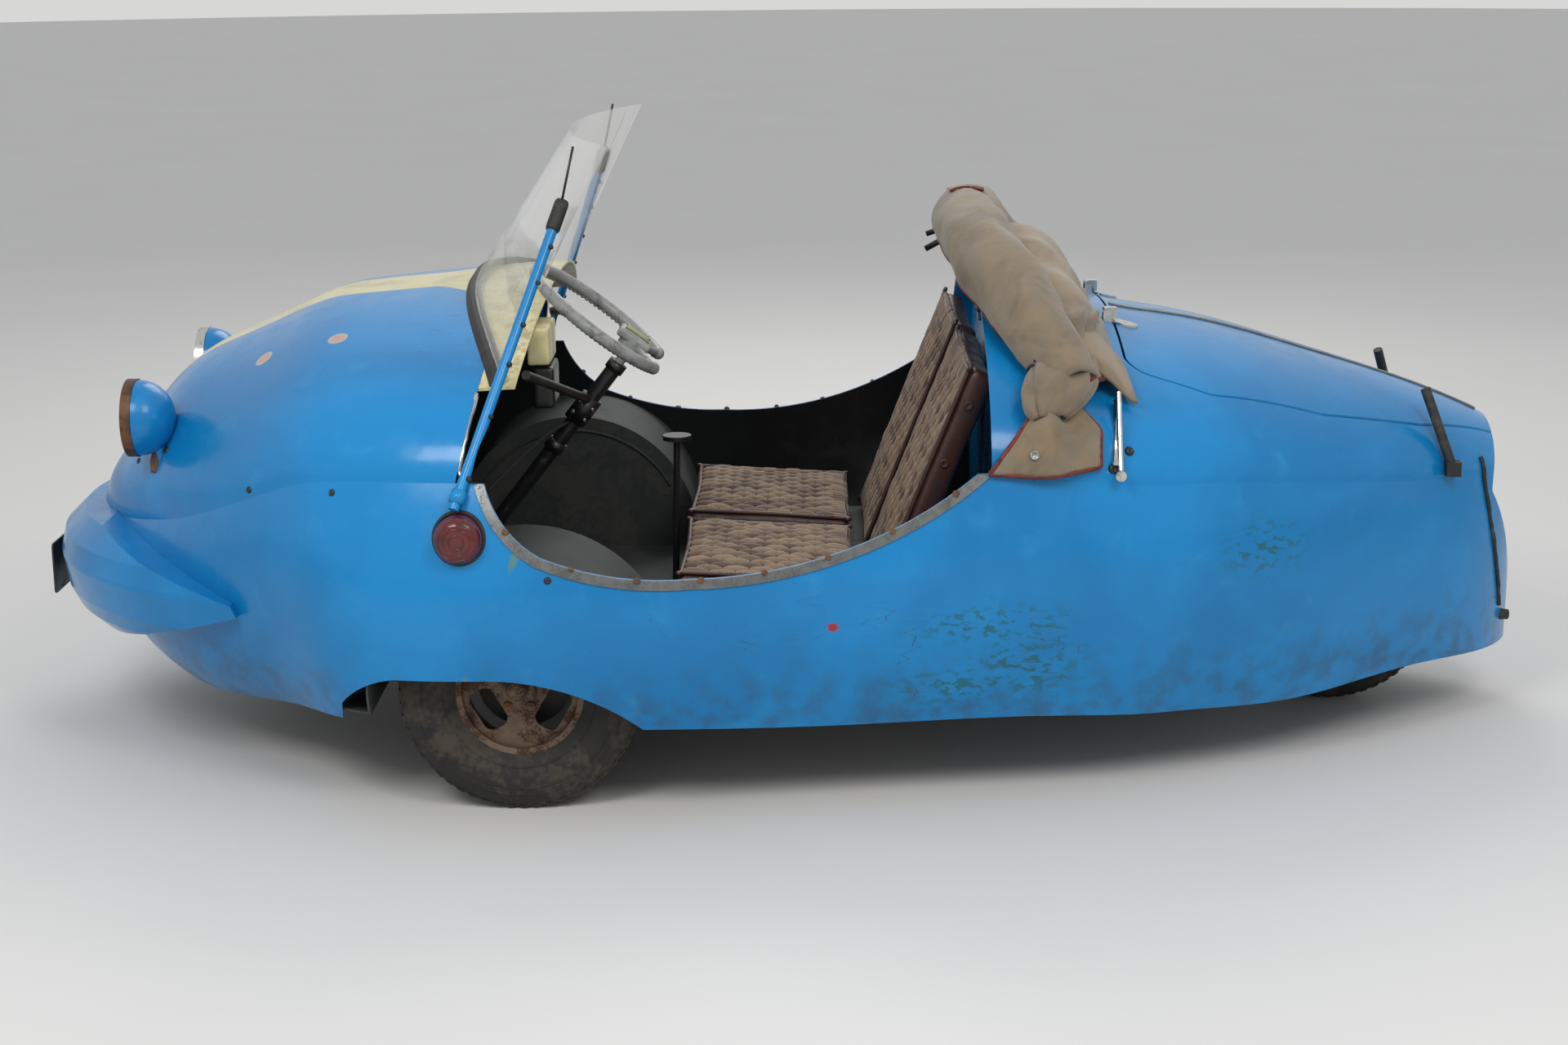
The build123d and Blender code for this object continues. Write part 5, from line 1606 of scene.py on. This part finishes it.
@dataclass
class Wheels:
    """Tread blocks and side rings on the tyres, and caps and nuts on the rims.

    Attributes:
        looks: The materials.
        front_y: How far a front wheel's middle is off the car's middle.
        tread_rows: Where the rows of blocks lie across the tread.
        blocks: How many blocks a row has.
        ring_radii: The radii of the moulded rings on a tyre's side.
        nut_circle: How far the nuts lie from the axle.
    """

    looks: Wardrobe
    front_y: float = 0.605
    tread_rows: tuple = (-0.030, -0.0105, 0.0105, 0.030)
    blocks: int = 56
    ring_radii: tuple = (0.130, 0.166, 0.178)
    nut_circle: float = 0.046

    def build(self) -> None:
        """Dress the three wheels."""
        for side in Side:
            hub = Vector((FRONT_AXLE_X, side.value * self.front_y, WHEEL_RADIUS))
            self.dress(f"front_{side.label}", hub, (side,))
        self.dress("rear", Vector((REAR_AXLE_X, 0.0, WHEEL_RADIUS)), tuple(Side))

    def block(self) -> bpy.types.Object:
        """One tread block with sloping sides, facing +Z along +X."""
        low = [(-0.0085, -0.0085), (0.0065, -0.0085), (0.0085, 0.0085), (-0.0065, 0.0085)]
        verts = [(x, y, -0.002) for x, y in low] + [(x * 0.82, y * 0.82, 0.0016) for x, y in low]
        faces = [(3, 2, 1, 0), (4, 5, 6, 7), (0, 1, 5, 4), (1, 2, 6, 5), (2, 3, 7, 6), (3, 0, 4, 7)]
        return outward(mesh_object("tread_block", verts, faces, [self.looks.dusty_tyre_rubber]))

    def dress(self, label: str, hub: Vector, faces: tuple) -> None:
        """Tread, side rings, cap and nuts of one wheel.

        Args:
            label: The wheel's name.
            hub: Its middle.
            faces: The sides that its face shows on.
        """
        body = f"wheel_{label}"
        tyre = Surface(f"tyre_{label}")
        spots = []
        for (row, across), k in product(enumerate(self.tread_rows), range(self.blocks)):
            out = spoke(2 * math.pi * (k + 0.5 * (row % 2)) / self.blocks)
            point, facing = tyre.hit(hub + out * 0.4 + RIGHT * across, -out)
            spots.append((point, facing, Vector((out.z, 0.0, -out.x))))
        scattered(f"tread_{label}", self.block(), spots, 17, "tyre", body, 0.03, smooth=False)
        rings = []
        for side, radius in product(Side, self.ring_radii):
            starts = [hub + spoke(2 * math.pi * k / 64) * radius + side.out * 0.3 for k in range(64)]
            line = [tyre.hit(start, -side.out)[0] for start in starts]
            rings.append(tube("ring", line, 0.0014, self.looks.dusty_tyre_rubber, 6, Outline.CLOSED))
        settled(joined(f"tyre_rings_{label}", rings), body, "tyre")
        for side in faces:
            self.hub_face(label, hub, side, body)

    def hub_face(self, label: str, hub: Vector, side: Side, body: str) -> None:
        """The cap and nuts on one face of a wheel."""
        suffix = label if label != "rear" else f"rear_{side.label}"
        rim = Surface(f"rim_{label}")
        spots = []
        for k in range(4):
            out = spoke(math.pi * (0.5 * k + 0.25))
            point, _ = rim.hit(hub + out * self.nut_circle + side.out * 0.3, -side.out)
            spots.append((point, side.out, out))
        nut = bead("nut", NUT_PROFILE, self.looks.rusty_steel, 6)
        scattered(f"wheel_nuts_{suffix}", nut, spots, 4, "rusty_steel", body, smooth=False)
        point, _ = rim.hit(hub + side.out * 0.3, -side.out)
        # The hub cap takes the rims' rusty paint, which is darkened as painted shade.
        cap = turned(f"hub_cap_{suffix}", HUB_CAP_PROFILE, point, side.out, self.looks.rusty_wheel_paint, 32)
        settled(cap, body, "rim_paint")


def ring_on(skin: Surface, station: float, z: float, radius: float, side: Side) -> list:
    """Points of a circle laid on the side of the body, seen along Y."""
    steps = 48
    line = []
    for k in range(steps):
        out = spoke(2 * math.pi * k / steps) * radius
        line.append(skin.beside(side, at(station) + out.x, z + out.z)[0])
    return line


@dataclass
class Lamps:
    """Reflectors, feet and ties of the headlamps, and the rings of the side lamps.

    Attributes:
        looks: The materials.
        head: Station, side and height of a headlamp's middle, at the front of its bowl.
        side_lamp: Station and height of a side lamp's middle.
        rib_radii: The radii of the ribs moulded on a side lamp.
    """

    looks: Wardrobe
    head: Point = (-0.708, 0.288, 0.617)
    side_lamp: tuple = (-0.081, 0.500)
    rib_radii: tuple = (0.012, 0.022, 0.031)

    def build(self) -> None:
        """Make the parts of all four lamps."""
        nose = Surface("lower_shell", "bonnet_shell")
        station, y, z = self.head
        for side in Side:
            centre = (at(station) - 0.0022, side.value * y, z)
            dish = turned(f"reflector_{side.label}", DISH_PROFILE, centre, AFT, self.looks.silvering, 48)
            settled(dish, "body", "chrome")
            self.foot(side, nose)
            self.side_rings(side, nose)

    def foot(self, side: Side, nose: Surface) -> None:
        """The post and flange that carry a headlamp, and the clip under its rim."""
        station, y, z = self.head
        rusty = self.looks.rusty_steel
        bottom = Vector((at(station) + 0.034, side.value * (y - 0.006), z - 0.058))
        foot, facing = nose.near(bottom - UP * 0.045)
        bend = bottom * 0.5 + foot * 0.5 + AFT * -0.004
        ends = [bottom + Vector((x, side.value * 0.006, z)) for x, z in ((-0.008, 0.002), (-0.050, -0.004))]
        pieces = [
            tube("post", rounded([bottom, bend, foot], 4), 0.0125, rusty, 14),
            turned("flange", FLANGE_PROFILE, foot, facing, rusty, 24),
            tube("clip", ends, 0.0026, rusty, 8),
            turned("clip_nut", CLIP_NUT_PROFILE, ends[1] + AFT * 0.002, AFT, rusty, 6),
        ]
        settled(joined(f"headlamp_foot_{side.label}", pieces), "body", "rusty_steel")

    def side_rings(self, side: Side, skin: Surface) -> None:
        """The base ring and moulded ribs of a side lamp."""
        line = ring_on(skin, *self.side_lamp, 0.0415, side)
        rubber = self.looks.matt_rubber
        base = tube(f"side_lamp_base_{side.label}", line, 0.0036, rubber, 10, Outline.CLOSED)
        settled(base, "body", "rubber")
        dome = Surface("side_lamps")
        lines = [ring_on(dome, *self.side_lamp, radius, side) for radius in self.rib_radii]
        ribs = [tube("rib", line, 0.0013, self.looks.red, 6, Outline.CLOSED) for line in lines]
        settled(joined(f"side_lamp_ribs_{side.label}", ribs), "body", "red_lens")


@dataclass(frozen=True)
class Strip:
    """A strip laid along the skin on both sides of the body.

    Attributes:
        name: Its name, before the side's.
        radius: Its radius.
        finish: The name of its material.
        slot: The name of its material's slot.
        carriers: The CAD nodes that it lies on.
        line: Stations, sides and heights along it, on the left.
        ragged: How far noise shifts it, where it is worn.
    """

    name: str
    radius: float
    finish: str
    slot: str
    carriers: tuple
    line: tuple
    ragged: float = 0.0


STRIPS = (
    Strip(
        "bumper_gasket", 0.0048, "matt_rubber", "rubber", BODY_NODES,
        ((-0.827, -0.110, 0.400), (-0.797, -0.187, 0.369), (-0.766, -0.243, 0.345), (-0.713, -0.318, 0.340),
         (-0.583, -0.464, 0.336), (-0.506, -0.528, 0.333)),
    ),
    Strip(
        "cowl_strip", 0.0045, "worn_chrome", "chrome", SKIN_NODES,
        ((-0.061, -0.598, 0.715), (-0.070, -0.657, 0.645), (-0.076, -0.708, 0.578)),
    ),
    Strip(
        "tail_edge", 0.0045, "matt_rubber", "rubber", BODY_NODES,
        ((1.724, -0.163, 0.503), (1.736, -0.166, 0.442), (1.756, -0.153, 0.361), (1.776, -0.127, 0.275),
         (1.789, -0.102, 0.205)),
        0.0015,
    ),
)


@dataclass
class Trim:
    """Screws, strips, rubber edges and fittings on the body.

    Attributes:
        looks: The materials.
        screws: Stations and heights of the small screws in a side.
        nose_screw: The station in front of which a screw sits on the nose, seen from the front.
        sill_step: How far apart the screws of the sill strip lie.
    """

    looks: Wardrobe
    screws: tuple = ((-0.732, 0.523), (-0.465, 0.538), (-0.660, 0.560), (-0.300, 0.560), (0.100, 0.548))
    nose_screw: float = -0.7
    sill_step: float = 0.105

    def build(self) -> None:
        """Make all the trim."""
        self.skin = Surface(*SKIN_NODES)
        carriers = {BODY_NODES: Surface(*BODY_NODES), SKIN_NODES: self.skin}
        for side in Side:
            for strip in STRIPS:
                self.laid(strip, side, carriers[strip.carriers])
            self.sill_screws(side)
            self.body_screws(side)
            self.tail_stub(side)
        self.plate_bolts()

    def laid(self, strip: Strip, side: Side, skin: Surface) -> None:
        """Lay a strip on one side of the body."""
        points = []
        for point in rounded([(at(s), abs(y) * side.value, z) for s, y, z in strip.line], 8):
            place, normal = skin.near(point)
            shift = strip.ragged * noise.noise(place * 90.0)
            points.append(place + normal * (strip.radius * 0.35 + shift) + UP * shift)
        material = getattr(self.looks, strip.finish)
        settled(tube(f"{strip.name}_{side.label}", points, strip.radius, material, 8), "body", strip.slot)

    def sill_screws(self, side: Side) -> None:
        """Dark screws along the bright sill strip."""
        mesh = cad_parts["sill_trim"].data
        trim = Surface("sill_trim")
        spots = []
        for k in range(8):
            x = at(self.sill_step * k)
            near = [v.co for v in mesh.vertices if v.co.y * side.value > 0 and abs(v.co.x - x) < 0.035]
            if len(near) < 4:
                continue
            middle = sum(near, Vector()) / len(near)
            point, facing = trim.near(middle + Vector((0.0, side.value * 0.02, 0.01)))
            spots.append((point, facing, AFT))
        head = screw(0.0058, 0.0026, self.looks.rusty_steel)
        scattered(f"sill_screws_{side.label}", head, spots, 9, "rusty_steel", spread=0.1)

    def body_screws(self, side: Side) -> None:
        """Small screws and plugs in the body's side and nose."""
        spots = []
        for station, z in self.screws:
            if station < self.nose_screw:
                point, facing = self.skin.hit((at(-1.4), side.value * 0.217, z), AFT)
            else:
                point, facing = self.skin.beside(side, at(station), z)
            spots.append((point, facing, AFT))
        head = screw(0.0062, 0.003, self.looks.worn_black_paint)
        scattered(f"body_screws_{side.label}", head, spots, 8, "black_metal", spread=0.1)

    def tail_stub(self, side: Side) -> None:
        """The short dark stub low on the tail."""
        point, _ = self.skin.near((at(1.815), side.value * 0.085, 0.180))
        ends = [point + Vector((-0.010, 0.0, 0.0)), point + Vector((0.014, 0.0, -0.002))]
        stub = tube(f"tail_stub_{side.label}", ends, [0.012, 0.0095], self.looks.matt_rubber, 14)
        settled(stub, "body", "rubber")

    def plate_bolts(self) -> None:
        """Two bolts through the bare plate."""
        low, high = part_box("number_plate")
        z = (low.z + high.z) / 2 + 0.012
        spots = [(Vector((low.x, y, z)), -AFT, RIGHT) for y in (-0.10, 0.10)]
        scattered("plate_bolts", screw(0.0055, 0.0035, self.looks.dull_steel), spots, 2, "bright_trim")


@dataclass
class Screen:
    """Sleeves, bolts, rods and clamps on the windscreen's posts.

    Attributes:
        looks: The materials.
        foot: Station, side and height of a post's foot.
        head: The same at its head.
        bolts: How far along the post its bolts lie, as shares of it.
        bolt_reach: How far they lie off its middle line.
    """

    looks: Wardrobe
    foot: Point = (-0.088, 0.731, 0.548)
    head: Point = (0.076, 0.462, 1.012)
    bolts: tuple = (0.10, 0.30, 0.47, 0.60, 0.74, 0.86)
    bolt_reach: float = 0.0095

    def build(self) -> None:
        """Dress both posts."""
        black = self.looks.worn_black_paint
        for side in Side:
            foot, head = (Vector((at(s), side.value * y, z)) for s, y, z in (self.foot, self.head))
            run = (head - foot).normalized()
            sleeve = turned(
                f"post_sleeve_{side.label}", SLEEVE_PROFILE, head, run, self.looks.matt_rubber, 20
            )
            settled(sleeve, "body", "rubber")
            aft = (AFT - run * run.x).normalized()
            out = Vector((0.25, float(side.value), 0.0))
            out = (out - run * run.dot(out)).normalized()
            lift = (out * 0.7 + aft * 0.7).normalized() * self.bolt_reach
            facing = (out + aft).normalized()
            spots = [(foot + (head - foot) * share + lift, facing, run) for share in self.bolts]
            bolt = screw(0.0046, 0.005, black)
            scattered(f"post_bolts_{side.label}", bolt, spots, 12, "black_metal", spread=0.1)
            tip = head + Vector((0.022, side.value * -0.012, 0.098))
            line = [head, head + (tip - head) * 0.5, tip]
            settled(tube(f"post_rod_{side.label}", line, 0.0022, black, 8), "body", "black_metal")
            clamp = turned(f"post_foot_{side.label}", CLAMP_PROFILE, foot, run, self.looks.blue, 20)
            settled(clamp, "body", "body_blue")


@dataclass
class Cockpit:
    """Fittings under the dash, on the steering column and wheel, and on the floor.

    Attributes:
        looks: The materials.
        hub: Station, side and height of the top of the steering column.
        pole: The direction of the column, upwards.
        ring: The radius of the steering ring.
        offset: How far the ring's middle is from the hub, towards the dash.
        collars: Distances down the column, radii and lengths of the collars on it.
    """

    looks: Wardrobe
    hub: Point = (0.178, -0.250, 0.739)
    pole: Point = (0.61661, 0.0, 0.78727)
    ring: float = 0.144
    offset: float = 0.072
    collars: tuple = ((-0.052, 0.0175, 0.018), (-0.150, 0.021, 0.055), (-0.235, 0.018, 0.020))

    def build(self) -> None:
        """Make the fittings."""
        station, y, z = self.hub
        top = Vector((at(station), y, z))
        pole = Vector(self.pole)
        down = Vector((pole.z, 0.0, -pole.x))
        self.steering_details(top, pole, down)
        self.column_details(top, pole, down)
        self.dash_details()
        self.pedals()
        self.housing_seams()

    def steering_details(self, top: Vector, pole: Vector, down: Vector) -> None:
        """The raised hub with its green inset, and finger bumps under the ring."""
        grey = self.looks.worn_grey_plastic
        axes = (down, RIGHT, pole)
        base = slab(
            "steering_hub_cover", top + pole * 0.010 - down * 0.004, axes, (0.034, 0.026, 0.010), grey,
            0.007, 0.002, 0.06, (14, 14, 6),
        )
        settled(base, "steering_wheel", "steering_grey")
        inset = slab(
            "steering_hub_inset", top + pole * 0.0205 - down * 0.004, axes, (0.026, 0.017, 0.0018),
            self.looks.olive_plastic, 0.0014, 0.0005, 0.16, (10, 10, 4),
        )
        settled(inset, "steering_wheel", "steering_grey")
        middle = top - down * self.offset
        bare, count = 34, 74
        spots = []
        for k in range(count):
            angle = math.radians(bare + (360 - 2 * bare) * k / (count - 1))
            out = down * math.cos(angle) + RIGHT * math.sin(angle)
            spots.append((middle + out * (self.ring - 0.003) - pole * 0.0085, -pole, out))
        bump = bead("finger_bump", BUMP_PROFILE, grey, 10)
        scattered("steering_grips", bump, spots, 21, "steering_grey", "steering_wheel")

    def column_details(self, top: Vector, pole: Vector, down: Vector) -> None:
        """The clamp and collars on the column, and the cable that comes off it."""
        black = self.looks.worn_black_paint
        pieces = []
        for reach, radius, length in self.collars:
            half = length / 2
            profile = ((-half, 0.0), (-half, radius), (half, radius), (half, 0.0))
            pieces.append(turned("collar", profile, top + pole * reach, pole, black, 24))
        settled(joined("column_collars", pieces), "body", "black_metal")
        clamp = top - pole * 0.150
        spots = []
        for turn, along in product((-1.0, 1.0), (-0.012, 0.012)):
            facing = (RIGHT * -0.8 + down * (0.6 * turn)).normalized()
            spots.append((clamp + pole * along + facing * 0.0205, facing, pole))
        scattered("column_bolts", screw(0.0042, 0.004, self.looks.dull_steel), spots, 14, "bright_trim")
        start = clamp - pole * 0.02
        line = [start, start + Vector((-0.06, -0.05, -0.03)), start + Vector((-0.150, -0.150, -0.105))]
        cable = tube("column_cable", rounded(line, 8), 0.0032, self.looks.black_cord, 8)
        settled(cable, "body", "rubber")

    def dash_details(self) -> None:
        """A cream box and a dark unit with a knob under the dash."""
        black = self.looks.worn_black_paint
        axes = (AFT, RIGHT, UP)
        box = slab(
            "dash_box", (at(0.022), -0.330, 0.758), axes, (0.020, 0.060, 0.034), self.looks.aged_cream_paint,
            0.006, 0.0, 0.0, (10, 10, 10),
        )
        settled(box, "body", "cream")
        unit = slab(
            "dash_unit", (at(0.028), -0.330, 0.683), axes, (0.019, 0.050, 0.038), black, 0.007, 0.0, 0.0,
            (10, 10, 10),
        )
        knob = turned("knob", KNOB_PROFILE, (at(0.040), -0.300, 0.806), (1.0, 0.0, 0.2), black, 20)
        settled(joined("dash_unit", [unit, knob]), "body", "black_metal")

    def pedals(self) -> None:
        """Two pedals with rubber pads."""
        tilt = Vector((0.5, 0.0, 0.86)).normalized()
        axes = (tilt, RIGHT, (tilt.z, 0.0, -tilt.x))
        pieces = []
        for y in (-0.330, -0.185):
            foot = Vector((at(-0.330), y, 0.186))
            head = Vector((at(-0.285), y, 0.300))
            line = rounded([foot, (foot + head) / 2 + AFT * 0.02, head], 5)
            half, rubber = (0.030, 0.024, 0.005), self.looks.matt_rubber
            pieces.append(tube("arm", line, 0.006, self.looks.worn_black_paint, 10))
            pieces.append(slab("pad", head, axes, half, rubber, 0.004, 0.001, 0.04, (8, 8, 4)))
        settled(joined("pedals", pieces), "body", "black_metal")

    def housing_seams(self) -> None:
        """The seam over each wheel housing of the tub."""
        tub = Surface("inner_tub")
        grey = self.looks.rough_grey_moulding
        for side in Side:
            line = []
            for k in range(25):
                out = spoke(math.radians(-62 + 124 * k / 24)) * 0.225
                start = (at(0.0) + out.x, side.value * 0.30, WHEEL_RADIUS + out.z)
                place, normal = tub.hit(start, side.out)
                line.append(place + normal * 0.001)
            settled(tube(f"housing_seam_{side.label}", line, 0.0032, grey, 8), "body", "tub_grey")


SUB_ASSEMBLIES = (Seats, FoldedHood, Wheels, Lamps, Trim, Screen, Cockpit)


def main() -> None:
    """Build the studio, dress the frame and make each sub-assembly."""
    logging.basicConfig(level=logging.INFO, format="%(name)s: %(message)s")
    Studio().build()
    wardrobe = Wardrobe()
    wardrobe.dress()
    for part in SUB_ASSEMBLIES:
        log.info("building %s", part.__name__)
        part(wardrobe).build()
    bpy.context.view_layer.update()


if __name__ == "__main__":
    main()
